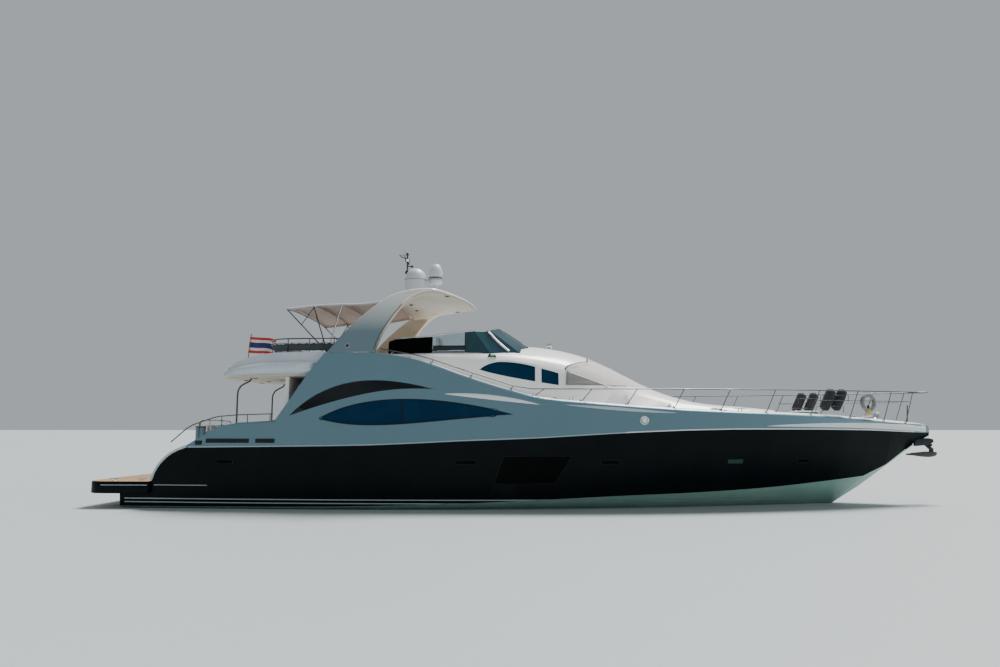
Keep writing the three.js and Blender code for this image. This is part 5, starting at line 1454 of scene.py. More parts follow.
@dataclass
class Glazing:
    """Panes, louvres, doors, screens and the windscreen's cover."""

    eye_top: Table = ((-5.96, 2.66), (-4.7, 3.46), (-2.3, 3.33), (-0.2, 2.77))
    eye_foot: Table = ((-5.96, 2.66), (-4.5, 2.23), (-2.6, 2.64), (-0.2, 2.77))
    mullion_x: float = -3.5
    louvre_top: Table = ((-6.9, 2.74), (-5.8, 3.92), (-4.4, 4.01), (-2.57, 3.52))
    louvre_foot: Table = ((-6.9, 2.74), (-4.8, 3.48), (-3.7, 3.6), (-2.57, 3.52))
    slats: int = 7
    screen_dark_x: float = -2.78
    screen_tint_x: float = -1.75
    cover_axis_z: float = 3.2
    cover_aft: Table = ((0.0, 2.2), (40.0, 2.12), (59.0, 1.4), (76.0, 1.36))
    cover_fore: float = 4.02
    cover_limit: Table = (
        (1.36, 76.0), (2.1, 74.0), (2.9, 71.0), (3.3, 68.0), (3.7, 61.0), (3.95, 51.5), (4.02, 47.0),
    )
    cover_reach: float = 76.0
    panel_edge: Point = (1.45, 4.12, 0.35)  # x and z of a point of the mesh panel's top edge, and its slope
    panel_y: float = 1.2

    def build(self) -> None:
        """Dresses the panes."""
        for label in SIDE_NAMES.values():
            dressed(f"eye_window_{label}", DARK_GLASS_WITH_PAINTED_SKY)
            dressed(f"louvre_{label}", BLACK_PLASTIC)
            for end in ("aft", "fore"):
                dressed(f"cabin_window_{end}_{label}", DARK_GLASS_WITH_PAINTED_SKY)
        self.trims()
        self.louvre_slats()
        dressed("windscreen", BLACK_GLASS, smooth=40)
        self.cover()
        self.fly_screen()
        self.doors()

    def trims(self) -> None:
        """Dark gaskets round the side windows and the mullion of the long one."""
        bm = bmesh.new()
        for side, label in SIDE_NAMES.items():
            points = []
            for run, off in (
                (bezier_run(self.eye_top, 28)[:-2], 0.03), (bezier_run(self.eye_foot, 28)[-3:0:-1], -0.03),
            ):
                found = on_side("superstructure", [(x, z + off) for x, z in run], side, -0.004)
                points += [p - Vector((0, 0, off)) for p in found]
            add_tube(bm, points, 0.014, closed=True, sides=6)
            post = [(self.mullion_x, z) for z in (2.56, 2.8, 3.0, 3.18)]
            add_tube(bm, on_side(f"eye_window_{label}", post, side, 0.004), 0.014, sides=6)
        piece("side_window_gaskets", bm, BLACK_RUBBER)

    def louvre_slats(self) -> None:
        """Blades along the dark crescent, close together and all of its own curve."""
        bm = bmesh.new()
        top, foot = bezier_run(self.louvre_top, 26), bezier_run(self.louvre_foot, 26)
        for side, label in SIDE_NAMES.items():
            for i in range(1, self.slats + 1):
                run = between(foot, top, i / (self.slats + 1))[2:-2]
                rows = []
                for x, z in run:
                    seat = side_point(f"louvre_{label}", x, z, side)
                    rows.append(
                        [
                            tuple(seat + Vector((0, side * out, up)))
                            for out, up in ((-0.004, 0.016), (0.02, -0.01), (0.022, -0.016), (-0.004, 0.008))
                        ],
                    )
                loft(bm, rows, caps=True)
        piece("louvre_blades", bm, DARK_TRIM)

    def fly_screen(self) -> None:
        """Dark band aft, clear panes beside the helm, dark glass in front, and a metal frame."""
        bm = dissolved_copy("fly_screen")
        for x in (self.screen_dark_x, self.screen_tint_x):
            split_across(bm, x)
        paint_faces(bm, lambda f: f.calc_center_median().x > self.screen_dark_x, 1)
        paint_faces(bm, lambda f: f.calc_center_median().x > self.screen_tint_x, 2)
        piece(
            "fly_screen_skin", bm, (BLACK_GLASS, CLEAR, TINTED), "boat", ("fly_screen",),
            40.0,
        )
        frame_bars, rubber, corners, band = (bmesh.new() for _ in range(4))
        add_tube(frame_bars, self.rim("fly_screen", (-3.0, 0.0), 44), 0.024, sides=8)
        for side in SIDES:
            corner = [(-0.38, 4.76), (-0.5, 4.86), (-0.66, 5.0), (-0.84, 5.18), (-0.98, 5.34), (-1.04, 5.39)]
            add_tube(corners, on_side("fly_screen", corner, side, 0.0), 0.038, sides=10)
            low_band = [(self.screen_dark_x + 0.04 + 0.2 * i, 4.86) for i in range(6)]
            add_tube(band, on_side("fly_screen", low_band, side, 0.002), 0.075, sides=8)
            for x in (self.screen_dark_x, self.screen_tint_x):
                top = 5.21 if x < -2.5 else 5.36
                low = 4.78
                add_tube(
                    rubber, on_side("fly_screen", [(x, low), (x, (low + top) / 2), (x, top)], side, 0.002),
                    0.012, sides=6,
                )
        for y in (-0.72, 0.72):
            points = [probe("fly_screen", (3.0, y, z), (-1, 0, 0)) for z in (5.12, 5.3, 5.5)]
            add_tube(rubber, points, 0.014, sides=6)
        seal = bmesh.new()
        add_tube(seal, self.screen_foot(), 0.02, sides=8)
        piece("fly_screen_seal", seal, BLACK_RUBBER)
        piece("fly_screen_frame", frame_bars, STAINLESS)
        piece("fly_screen_corners", corners, WHITE_METAL)
        piece("fly_screen_foot_band", band, DARK_TRIM)
        piece("fly_screen_joints", rubber, DARK_TRIM)

    def screen_foot(self) -> list[Vector]:
        """Where the raked front of the fly screen comes out of the roof, from side to side."""
        points = []
        for i in range(15):
            y = 1.5 * (i / 7 - 1)
            for step in range(60):
                found = surface("fly_screen").ray_cast(
                    Vector((3.0, y, 4.66 + 0.012 * step)), Vector((-1, 0, 0)),
                )[0]
                if found and found.z > deck_point("cabin_roof", found.x, y).z:
                    points.append(found)
                    break
        return points

    def rim(self, node: str, centre: tuple[float, float], bins: int) -> list[Vector]:
        """The upper edge of an open wall, from one end round to the other."""
        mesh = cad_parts[node].data
        rows: dict[int, list[Vector]] = {}
        for face in mesh.polygons:
            if face.normal.z > 0.6 and face.center.z > 5.0:
                ends = [mesh.vertices[i].co for i in face.vertices]
                for a, b in zip(ends, ends[1:]):
                    for share in (0.0, 0.25, 0.5, 0.75):
                        p = a.lerp(b, share)
                        turn = math.atan2(p.y - centre[1], p.x - centre[0])
                        rows.setdefault(round(turn / math.pi * bins), []).append(p)
        tops = []
        for key in sorted(rows):
            crest = max(p.z for p in rows[key])
            high = [p for p in rows[key] if p.z > crest - 0.02]
            tops.append(sum(high, Vector()) / len(high))
        return tops

    def cover(self) -> None:
        """The sun cover on the windscreen: one laid sheet, pale over the front and mesh on the sides."""
        bm = bmesh.new()
        cloth_grid(bm, 72, 22, self.cover_point)
        x, z, slope = self.panel_edge
        for spot, way in (
            ((x, 0, z), (slope, 0, 1)), ((0, self.panel_y, 0), (0, 1, 0)), ((0, -self.panel_y, 0), (0, 1, 0)),
        ):
            bmesh.ops.bisect_plane(bm, geom=everything(bm), plane_co=spot, plane_no=way)
        paint_faces(bm, self.is_mesh, 1)
        made = piece("windscreen_sun_cover", bm, (COVER, MESH_COVER), "boat", smooth=180.0)
        thickened(made, 0.003)
        welts, cord_edge = bmesh.new(), bmesh.new()
        for share in (0.3, 0.5, 0.7):
            add_tube(
                welts, [Vector(self.cover_point(share, i / 14)) + Vector((0, 0, 0.004)) for i in range(15)],
                0.006, sides=6,
            )
        for end in (0.0, 1.0):
            add_tube(welts, [Vector(self.cover_point(i / 60, end)) for i in range(61)], 0.009, sides=6)
        for side in SIDES:
            line = [(1.5, 4.09), (1.9, 3.95), (2.3, 3.81), (2.7, 3.67)]
            points = [self.outer_point(x, side, z) for x, z in line]
            add_tube(cord_edge, points, 0.014, sides=6)
        piece("sun_cover_welts", welts, COVER)
        piece("sun_cover_edging", cord_edge, WHITE_METAL)
        # A dark tube along the cover's aft edge: painted shadow under the roof's visor.
        painted_shadow_strip = bmesh.new()
        add_tube(
            painted_shadow_strip,
            [Vector(self.cover_point(i / 40, -0.012)) - Vector((0.01, 0, 0.004)) for i in range(4, 37)],
            0.02, sides=6,
        )
        piece("windscreen_painted_shadow", painted_shadow_strip, BLACK_RUBBER)

    def under_cover(self, start: Vector, way: Vector) -> list[Vector]:
        """Where a straight line meets the windscreen and the roof, which carry the cover."""
        hits = [surface(node).ray_cast(start, way)[0] for node in ("windscreen", "cabin_roof")]
        return [hit for hit in hits if hit]

    def outer_point(self, x: float, side: int, z: float) -> Vector:
        """The cover's own surface on one side, at a length and height."""
        hits = self.under_cover(Vector((x, side * 4.0, z)), Vector((0, -side, 0)))
        return max(hits, key=lambda p: abs(p.y)) + Vector((0, side * 0.016, 0.006))

    def cover_point(self, across: float, ahead: float) -> Point:
        """A point of the cover from its share across the boat and its share forward."""
        share = across * 2 - 1
        x0 = along(self.cover_aft, abs(share) * self.cover_reach)
        x = x0 + (self.cover_fore - x0) * ahead
        turn = share * along(self.cover_limit, x)
        out = Vector((0.0, math.sin(math.radians(turn)), math.cos(math.radians(turn))))
        hub = Vector((x, 0.0, self.cover_axis_z))
        reach = max((hit - hub).length for hit in self.under_cover(hub + out * 4.0, -out))
        wrinkle = 0.004 * math.sin(turn * 0.9 + x * 5.0) * math.sin(x * 7.0)
        return tuple(hub + out * (reach + 0.014 + wrinkle))

    def is_mesh(self, face: bmesh.types.BMFace) -> bool:
        """Whether a face belongs to the mesh triangle at the cover's side."""
        middle = face.calc_center_median()
        x, z, slope = self.panel_edge
        return abs(middle.y) > self.panel_y and middle.z < z - (middle.x - x) * slope

    def doors(self) -> None:
        """Two dark glass leaves in bright frames, with a pull on the one that slides."""
        for node, body in (("fixed_door", "boat"), ("saloon_door", "saloon_door")):
            dressed(node, DARK_GLASS_WITH_PAINTED_SKY, body)
            low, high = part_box(node)
            bm = bmesh.new()
            x0, x1, wide = low.x - 0.004, high.x + 0.004, 0.055
            add_box(bm, (x0, low.y, low.z), (x1, low.y + wide, high.z))
            add_box(bm, (x0, high.y - wide, low.z), (x1, high.y, high.z))
            add_box(bm, (x0, low.y + wide, low.z), (x1, high.y - wide, low.z + wide))
            add_box(bm, (x0, low.y + wide, high.z - wide), (x1, high.y - wide, high.z))
            eased(bm, corner_edges(bm, 40), 0.006)
            piece(f"{node}_frame", bm, WHITE_METAL, body)
        low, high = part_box("saloon_door")
        pull = bmesh.new()
        x, y, z = low.x - 0.005, high.y - 0.1, 2.75
        add_tube(
            pull, [(x, y, z), (x - 0.045, y, z + 0.03), (x - 0.045, y, z + 0.32), (x, y, z + 0.35)], 0.012,
        )
        piece("saloon_door_pull", pull, STAINLESS, "saloon_door")


@dataclass(frozen=True)
class Cushion:
    """A stuffed pad: its finished size, how hard it is filled, and the seams sewn on it."""

    size: Point
    fill: float = 0.85
    corner: float = 0.05
    voxel: float = 0.018
    swell: float = 0.024
    pressure: float = 4.0
    frames: int = 20
    channels: int = 0

    def mesh(self) -> Mesh:
        """The plumped pad about its own middle, with its welts and channels."""
        bm = bmesh.new()
        slack = 0.5 * self.swell
        cube = bmesh.ops.create_cube(bm, size=1.0)["verts"]
        bmesh.ops.scale(bm, vec=Vector([part - 2 * slack for part in self.size]), verts=cube)
        eased(bm, bm.edges[:], min(self.corner, min(self.size) * 0.3), 3)
        plump = self.blown(resurfaced(bm, self.voxel, 2))
        self.sew(plump)
        return plump

    def blown(self, bm: Mesh) -> Mesh:
        """Blows the pad up with a cloth simulation."""
        start = [v.co.copy() for v in bm.verts]
        mesh = bpy.data.meshes.new("pad")
        bm.to_mesh(mesh)
        holder = bpy.data.objects.new("pad", mesh)
        bpy.context.scene.collection.objects.link(holder)
        cloth = holder.modifiers.new("stuffing", "CLOTH")
        cloth.settings.quality = 5
        cloth.settings.use_pressure = True
        cloth.settings.uniform_pressure_force = self.pressure
        cloth.settings.effector_weights.gravity = 0.0
        cloth.point_cache.frame_start, cloth.point_cache.frame_end = 1, self.frames
        for frame_number in range(1, self.frames + 1):
            bpy.context.scene.frame_set(frame_number)
        blown = bpy.data.meshes.new_from_object(holder.evaluated_get(bpy.context.evaluated_depsgraph_get()))
        for vert, was, now in zip(bm.verts, start, blown.vertices):
            shift = now.co - was
            if shift.length > self.swell:
                shift = shift.normalized() * self.swell
            vert.co = was + shift
        bpy.data.objects.remove(holder)
        for spare in (blown, mesh):
            bpy.data.meshes.remove(spare)
        bpy.context.scene.frame_set(1)
        return bm

    def sew(self, bm: Mesh) -> None:
        """Pulls the sewn channels in, then adds a welt along the seam of each broad face."""
        width, depth, tall = self.size
        flat = 2 if tall <= depth else 1
        for vert in bm.verts:
            across = vert.co[0] / width + 0.5
            for i in range(1, self.channels + 1):
                off = abs(across - i / (self.channels + 1)) * width
                if off < 0.03:
                    vert.co[flat] *= 1 - 0.16 * (1 - off / 0.03) ** 2
        bmesh.ops.smooth_vert(
            bm, verts=bm.verts[:], factor=0.3, use_axis_x=True, use_axis_y=True, use_axis_z=True,
        )
        thick = self.size[flat] / 2
        other = 1 if flat == 2 else 2
        skin = BVHTree.FromBMesh(bm)
        for level in (-1, 1):
            ring = rounded_outline(
                -width / 2 + 0.012, width / 2 - 0.012, -self.size[other] / 2 + 0.012,
                self.size[other] / 2 - 0.012, self.corner,
            )
            points = []
            for u, v in closer(ring, 0.05):
                place = Vector((u, 0, 0))
                place[flat], place[other] = level * (thick - 0.028), v
                near, way = skin.find_nearest(place)[:2]
                points.append(near + way * 0.003)
            before = len(bm.faces)
            add_rim(bm, points, 0.006)
            bm.faces.ensure_lookup_table()
            for face in bm.faces[before:]:
                face.material_index = 1


@cache
def stuffed(cushion: Cushion) -> bpy.types.Mesh:
    """A cushion's mesh, plumped once for all its copies."""
    bm = cushion.mesh()
    mesh = bpy.data.meshes.new("stuffed")
    bm.to_mesh(mesh)
    bm.free()
    return mesh


def lay_cushion(
    name: str, cushion: Cushion, place: Sequence[float], tilt: float = 0.0, turn: float = 0.0,
) -> bpy.types.Object:
    """Puts a copy of a cushion in its place on the boat.

    Args:
        name: the piece's name.
        cushion: the pad, wide along X, until it is turned.
        place: where its middle goes.
        tilt: how far its top leans back, in degrees.
        turn: its turn round the upright, in degrees.

    Returns:
        The padded piece.
    """
    bm = bmesh.new()
    bm.from_mesh(stuffed(cushion))
    matrix = Matrix.Translation(Vector(place)) @ Matrix.Rotation(
        math.radians(turn), 4, "Z",
    ) @ Matrix.Rotation(math.radians(tilt), 4, "X")
    bmesh.ops.transform(bm, matrix=matrix, verts=bm.verts[:])
    made = piece(name, bm, (CUSHION, PIPING), smooth=60.0)
    smoother = made.modifiers.new("fabric", "SUBSURF")
    smoother.levels = smoother.render_levels = 1
    return made


def make_sofa(node: str, name: str) -> None:
    """A sofa across the boat, facing forward: a moulded plinth, three seats and three backs.

    Args:
        node: the CAD seat, which fixes its size.
        name: what its pieces are called.
    """
    low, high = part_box(node)
    length = high.y - low.y
    bm = bmesh.new()
    add_box(bm, (low.x, low.y, low.z), (high.x - 0.03, high.y, low.z + 0.27))
    add_box(bm, (low.x, low.y, low.z + 0.27), (low.x + 0.06, high.y, high.z - 0.03))
    eased(bm, corner_edges(bm, 40), 0.02, 3)
    middles = [low.y + length * (i + 0.5) / 3 for i in range(3)]
    for y in middles:
        panel = rounded_outline(y - 0.3, y + 0.3, low.z + 0.06, low.z + 0.22, 0.02)
        plate(bm, panel, 0.008, lambda u, v: (high.x - 0.03, u, v), (1, 0, 0))
    piece(f"{name}_plinth", bm, WHITE, stands_for=(node,))
    wide = length / 3 - 0.01
    seat_pad = Cushion((wide, high.x - low.x - 0.25, 0.15), channels=2)
    back_pad = Cushion((wide, 0.15, 0.36), fill=0.7, channels=2)
    for i, y in enumerate(middles, 1):
        lay_cushion(
            f"{name}_seat_{i}", seat_pad, ((low.x + 0.25 + high.x) / 2 - 0.01, y, low.z + 0.352), turn=90,
        )
        lay_cushion(f"{name}_back_{i}", back_pad, (low.x + 0.15, y, high.z - 0.185), tilt=-8, turn=90)


@dataclass
class Rails:
    """Stainless rails, poles and the bow staff."""

    posts: Table = (
        (-3.9, 2.595), (-2.7, 2.66), (-1.5, 2.739), (-0.3, 2.795), (0.36, 2.809), (1.76, 2.799),
        (3.09, 2.731),
        (4.49, 2.603), (5.89, 2.401), (7.31, 2.106), (8.76, 1.713), (10.11, 1.245), (11.36, 0.732),
        (12.21, 0.356),
    )
    mesh_z: tuple[float, float] = (4.74, 4.97)
    mesh_plan: Table = (
        (-5.72, -2.33), (-6.45, -2.33), (-7.3, -2.29), (-7.8, -1.95), (-8.04, -1.25), (-8.08, 0.0),
        (-8.04, 1.25),
        (-7.8, 1.95), (-7.3, 2.29), (-6.45, 2.33), (-5.72, 2.33),
    )
    fly_rail_ends: Table = ((5.12, -5.42), (4.98, -5.5))

    def build(self) -> None:
        """Dresses the tubes."""
        for node in ("bow_rail", "aft_rail_starboard", "aft_rail_port", "fly_rail", "bimini_frame"):
            dressed(node, RAIL_STEEL, smooth=65)
        for node in ("overhang_pole_starboard", "overhang_pole_port", "jackstaff"):
            dressed(node, RAIL_STEEL, smooth=50)
        self.feet()
        self.fly_mesh()
        self.fairleads()

    def feet(self) -> None:
        """A round foot under every stanchion of the bow rail and every pole."""
        bm = bmesh.new()
        foot = [(0.0, -0.006), (0.048, -0.006), (0.048, 0.004), (0.03, 0.012), (0.019, 0.03), (0.017, 0.07)]
        for side in SIDES:
            for x, y in self.posts:
                seat = deck_point("superstructure", x, side * y)
                add_turned(bm, foot, seat, 16)
        for side in SIDES:
            add_turned(bm, [(r * 1.5, h) for r, h in foot], (-9.01, side * 1.56, 1.702), 18)
        for x, y in ((-6.52, 2.326), (-7.2, 2.29), (-7.965, 1.5), (-8.08, 0.3)):
            for side in SIDES:
                add_turned(bm, foot, (x, side * y, 4.1), 14)
        piece("stanchion_feet", bm, STAINLESS)

    def fly_mesh(self) -> None:
        """The dark mesh band laced inside the rail of the flybridge."""
        bm = bmesh.new()
        low, high = self.mesh_z
        corners = [Vector((x, y, 0.0)) for x, y in self.mesh_plan]
        lengths = [0.0]
        for a, b in zip(corners, corners[1:]):
            lengths.append(lengths[-1] + (b - a).length)

        def at_share(share: float) -> Vector:
            """The point of the rail's plan at a share of its length."""
            reach = share * lengths[-1]
            for i, end in enumerate(lengths[1:]):
                if reach <= end + 1e-6:
                    return corners[i].lerp(corners[i + 1], (reach - lengths[i]) / (end - lengths[i]))
            return corners[-1]

        def place(u: float, v: float) -> Point:
            """A point of the band, drawn in a little between its lacings."""
            p = at_share(u) * 0.994
            scallop = 0.012 * math.sin(math.pi * (u * 36 % 1.0))
            return (p.x, p.y, low + scallop + (high - low - 2 * scallop) * v)

        cloth_grid(bm, 180, 4, place)
        made = piece("fly_rail_mesh", bm, DARK_MESH, smooth=60.0)
        thickened(made, 0.002)
        ties = bmesh.new()
        for i in range(37):
            p = at_share(i / 36)
            add_tube(
                ties, [(p.x * 0.994, p.y * 0.994, high - 0.01), (p.x * 1.001, p.y * 1.001, high + 0.012)],
                0.006, sides=6,
            )
        piece("fly_mesh_ties", ties, BLACK_RUBBER)
        run_on = bmesh.new()
        for side in SIDES:
            for z, end in self.fly_rail_ends:
                add_bar(run_on, (-6.46, side * 2.33, z), (end, side * 2.33, z), 0.017 if z > 5.0 else 0.012)
            for x in (-6.1, -5.75):
                add_bar(run_on, (x, side * 2.33, 4.1), (x, side * 2.33, 5.12), 0.013)
        piece("fly_rail_ends", run_on, RAIL_STEEL)

    def fairleads(self) -> None:
        """Chocks and mooring cleats along the deck's edge."""
        bm, chocks = bmesh.new(), bmesh.new()
        for side in SIDES:
            for x, inset in ((-8.9, 0.14), (1.5, 0.5), (6.6, 0.42), (10.9, 0.34)):
                edge = abs(side_point("superstructure", x, 2.2 if x < 0 else 2.55, side).y)
                y = side * (edge - inset)
                add_cleat(bm, deck_point("superstructure", x, y), 0.0, 0.34)
                seat = deck_point("superstructure", x - 0.5, side * (abs(y) + 0.12 if x > 0 else abs(y)))
                add_turned(chocks, [(0.09, -0.004), (0.09, 0.012), (0.05, 0.03), (0.0, 0.03)], seat, 20)
        piece("deck_cleats", bm, STAINLESS)
        piece("deck_chocks", chocks, RAIL_STEEL)


@dataclass
class Cockpit:
    """Aft cockpit furniture and the stairs."""

    def build(self) -> None:
        """Dresses the furniture."""
        make_sofa("cockpit_sofa", "cockpit_sofa")
        make_table("cockpit_table")
        self.stairs()
        self.coaming()

    def stairs(self) -> None:
        """Teak treads on white strings, with a handrail on each side."""
        bm = dissolved_copy("fly_stairs")
        eased(bm, corner_edges(bm, 35), 0.006)
        paint_faces(bm, lambda f: f.calc_center_median().y < 1.4 or f.calc_center_median().y > 2.0, 1)
        piece("fly_stairs_skin", bm, (JOINERY, WHITE_METAL), "boat", ("fly_stairs",))
        rail, grips = bmesh.new(), bmesh.new()
        for y in (1.385, 2.015):
            add_tube(
                rail, [(-8.25, y, 1.95), (-8.3, y, 2.6), (-8.2, y, 2.85), (-7.65, y, 3.72), (-7.5, y, 3.78)],
                0.018,
            )
        for i in range(9):
            z, x = 1.7 + 0.24 * (i + 1), -8.46 + 0.095 * i
            for depth in (0.03, 0.06):
                add_box(grips, (x + depth, 1.46, z - 0.001), (x + depth + 0.014, 1.94, z + 0.002))
        piece("stair_handrails", rail, STAINLESS)
        piece("stair_grips", grips, BLACK_RUBBER)

    def coaming(self) -> None:
        """Cap on the transom's coaming, and its rail."""
        low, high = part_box("transom_coaming")
        cap, rail = bmesh.new(), bmesh.new()
        add_box(
            cap, (low.x - 0.02, low.y - 0.01, high.z - 0.004), (high.x + 0.01, high.y + 0.01, high.z + 0.026),
        )
        eased(cap, corner_edges(cap, 40), 0.012, 3)
        piece("coaming_cap", cap, JOINERY)
        x = (low.x + high.x) / 2 - 0.06
        run = [
            (x, -1.2, high.z + 0.02), (x, -1.17, high.z + 0.17), (x, -1.0, high.z + 0.2),
            (x, 1.0, high.z + 0.2), (x, 1.17, high.z + 0.17), (x, 1.2, high.z + 0.02),
        ]
        add_tube(rail, run, 0.014)
        for y in (-0.5, 0.5):
            add_tube(rail, [(x, y, high.z + 0.02), (x, y, high.z + 0.2)], 0.011)
        piece("coaming_rail", rail, RAIL_STEEL)


def make_table(node: str, inset: float = 0.1) -> None:
    """A varnished table with an inlaid edge on a turned leg."""
    bm = dissolved_copy(node)
    low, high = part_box(node)
    board_foot = high.z - 0.045
    eased(bm, [e for e in corner_edges(bm, 50) if min(v.co.z for v in e.verts) > board_foot], 0.01, 3)
    paint_faces(bm, lambda f: f.calc_center_median().z < board_foot, 1)
    piece(f"{node}_skin", bm, (JOINERY, STAINLESS), "boat", (node,), 40.0)
    inlay = bmesh.new()
    edge = rounded_outline(low.x + inset, high.x - inset, low.y + inset, high.y - inset, 0.09)
    add_rim(inlay, [(x, y, high.z - 0.001) for x, y in edge], 0.004)
    piece(f"{node}_inlay", inlay, WHITE)


@dataclass
class UpperDeck:
    """Helm, seats, sofa, table, canopy and ensign."""

    helm: Point = (-1.64, -0.7, 4.1)
    seat: Point = (-2.5, -0.7, 4.1)
    bows: tuple[tuple[float, float, float], ...] = (
        (-7.33, 2.11, 6.2), (-6.5, 2.1, 6.31), (-5.6, 2.08, 6.35), (-4.9, 2.02, 6.35), (-4.45, 1.97, 6.44),
        (-4.14, 1.93, 6.5),
    )
    sag: float = 0.006
    valance: float = 0.06
    luff_x: float = -9.316
    ensign_foot: float = 4.93
    ensign_hoist: float = 0.55
    ensign_length: float = 0.94

    def build(self) -> None:
        """Dresses the upper deck."""
        self.console()
        dressed("fly_wheel", BLACK_RUBBER, "helm_wheel", smooth=50)
        self.helm_seat()
        make_sofa("fly_sofa", "fly_sofa")
        make_table("fly_table")
        self.canopy()
        dressed("ensign_staff", JOINERY, smooth=50)
        self.ensign()

    def console(self) -> None:
        """White console with a dark dash, screens, switches, levers and a compass."""
        dressed("fly_console", WHITE, ease=0.03, segments=3)
        x, y, z = self.helm
        lean = Vector((0.36, 0.0, 0.18)).normalized()
        up = Vector((-lean.z, 0.0, lean.x))
        desk = Vector((x + 0.06, y, z + 0.82))
        dash, screens, knobs, levers = bmesh.new(), bmesh.new(), bmesh.new(), bmesh.new()

        def on_desk(u: float, v: float, lift: float = 0.0) -> Point:
            """A point of the sloping desk: across, up its slope, and off it."""
            return tuple(desk + Vector((0, u, 0)) + lean * v + up * lift)

        plate(
            dash, rounded_outline(-0.55, 0.55, 0.03, 0.37, 0.03), 0.008, lambda u, v: on_desk(u, v, 0.004),
            up,
        )
        for middle in (-0.32, 0.0, 0.32):
            plate(
                screens, rounded_outline(middle - 0.14, middle + 0.14, 0.13, 0.34, 0.015), 0.01,
                lambda u, v: on_desk(u, v, 0.012), up,
            )
        for i in range(12):
            add_turned(
                knobs, [(0.012, 0.0), (0.011, 0.01), (0.008, 0.013), (0.0, 0.013)],
                on_desk(-0.44 + 0.08 * i, 0.08, 0.011), 12, up,
            )
        for u in (-0.43, -0.37):
            add_tube(levers, [on_desk(u, 0.05, 0.0), on_desk(u, 0.06, 0.09), on_desk(u, 0.1, 0.15)], 0.009)
            add_ball(levers, on_desk(u, 0.1, 0.16), (0.02, 0.02, 0.025), 8)
        piece("helm_dash", dash, BLACK_PLASTIC)
        piece("helm_screens", screens, BLACK_GLASS)
        piece("helm_switches", knobs, STAINLESS)
        piece("throttle_levers", levers, STAINLESS)
        compass, bowl = bmesh.new(), bmesh.new()
        top = (x + 0.47, y, z + 0.965)
        add_turned(compass, [(0.09, -0.01), (0.09, 0.03), (0.075, 0.045), (0.07, 0.045)], top, 24)
        add_turned(bowl, [(0.072, 0.04), (0.06, 0.075), (0.035, 0.095), (0.0, 0.1)], top, 24)
        piece("compass_bezel", compass, BLACK_PLASTIC)
        piece("compass_bowl", bowl, BLACK_GLASS)

    def helm_seat(self) -> None:
        """Two pads on a moulded shell, with arms, on a turned pedestal."""
        x, y, z = self.seat
        bm = bmesh.new()
        leg = [
            (0.18, 0.0), (0.17, 0.025), (0.06, 0.05), (0.06, 0.5), (0.14, 0.53), (0.14, 0.545), (0.0, 0.545),
        ]
        add_turned(bm, leg, (x, y, z), 32)
        add_tube(
            bm,
            [
                (x + 0.05, y - 0.16, z + 0.25), (x + 0.3, y - 0.14, z + 0.22), (x + 0.3, y + 0.14, z + 0.22),
                (x + 0.05, y + 0.16, z + 0.25),
            ],
            0.014,
        )
        for side in SIDES:
            arm = [
                (x - 0.16, y + side * 0.25, z + 0.78), (x - 0.06, y + side * 0.265, z + 0.83),
                (x + 0.16, y + side * 0.26, z + 0.83),
            ]
            add_tube(bm, arm, 0.024)
        piece("helm_seat_pedestal", bm, RAIL_STEEL, stands_for=("fly_seat",))
        shell = bmesh.new()
        outline = [(-0.22, 0.545), (0.24, 0.545), (0.25, 0.575), (-0.12, 0.59), (-0.235, 1.22), (-0.29, 1.21)]
        plate(shell, outline, 0.5, lambda u, v: (x + u, y - 0.25, z + v), (0, 1, 0))
        eased(shell, corner_edges(shell, 30), 0.018, 3)
        piece("helm_seat_shell", shell, WHITE)
        lay_cushion(
            "helm_seat_pad", Cushion((0.5, 0.44, 0.12), channels=2), (x + 0.045, y, z + 0.635), turn=90,
        )
        lay_cushion(
            "helm_seat_back", Cushion((0.48, 0.11, 0.56), fill=0.8, channels=2), (x - 0.155, y, z + 0.955),
            tilt=-10.5, turn=90,
        )

    def canopy(self) -> None:
        """One curved sheet over the bows, pale above and brown beneath, with its edges turned down."""
        bm = bmesh.new()
        cloth_grid(bm, 34, 44, self.canopy_point)
        made = piece("bimini_canopy_cloth", bm, (LINING, CANVAS), "boat", ("bimini_canopy",), 60.0)
        thickened(made, 0.003, offset=0.0, material_offset=1)
        welts, cords = bmesh.new(), bmesh.new()
        for share in (0.27, 0.5, 0.73):
            add_tube(
                welts, [Vector(self.canopy_point(share, i / 30)) + Vector((0, 0, 0.001)) for i in range(31)],
                0.005, sides=6,
            )
        for edge in (0.0, 1.0):
            add_tube(welts, [self.canopy_point(i / 34, edge) for i in range(35)], 0.008, sides=6)
            add_tube(cords, [self.canopy_point(edge, i / 44) for i in range(45)], 0.009, sides=6)
        piece("canopy_welts", welts, CANVAS)
        piece("canopy_edge_cords", cords, CANVAS)
        pockets = bmesh.new()
        for x, half, z in self.bows[:3]:
            add_tube(
                pockets,
                [
                    (x, y, z - 0.025 - 0.075 * abs(y / half) ** 3)
                    for y in [half * (i / 8 - 1) * 0.97 for i in range(17)]
                ],
                0.012, sides=6,
            )
        piece("canopy_pockets", pockets, LINING)

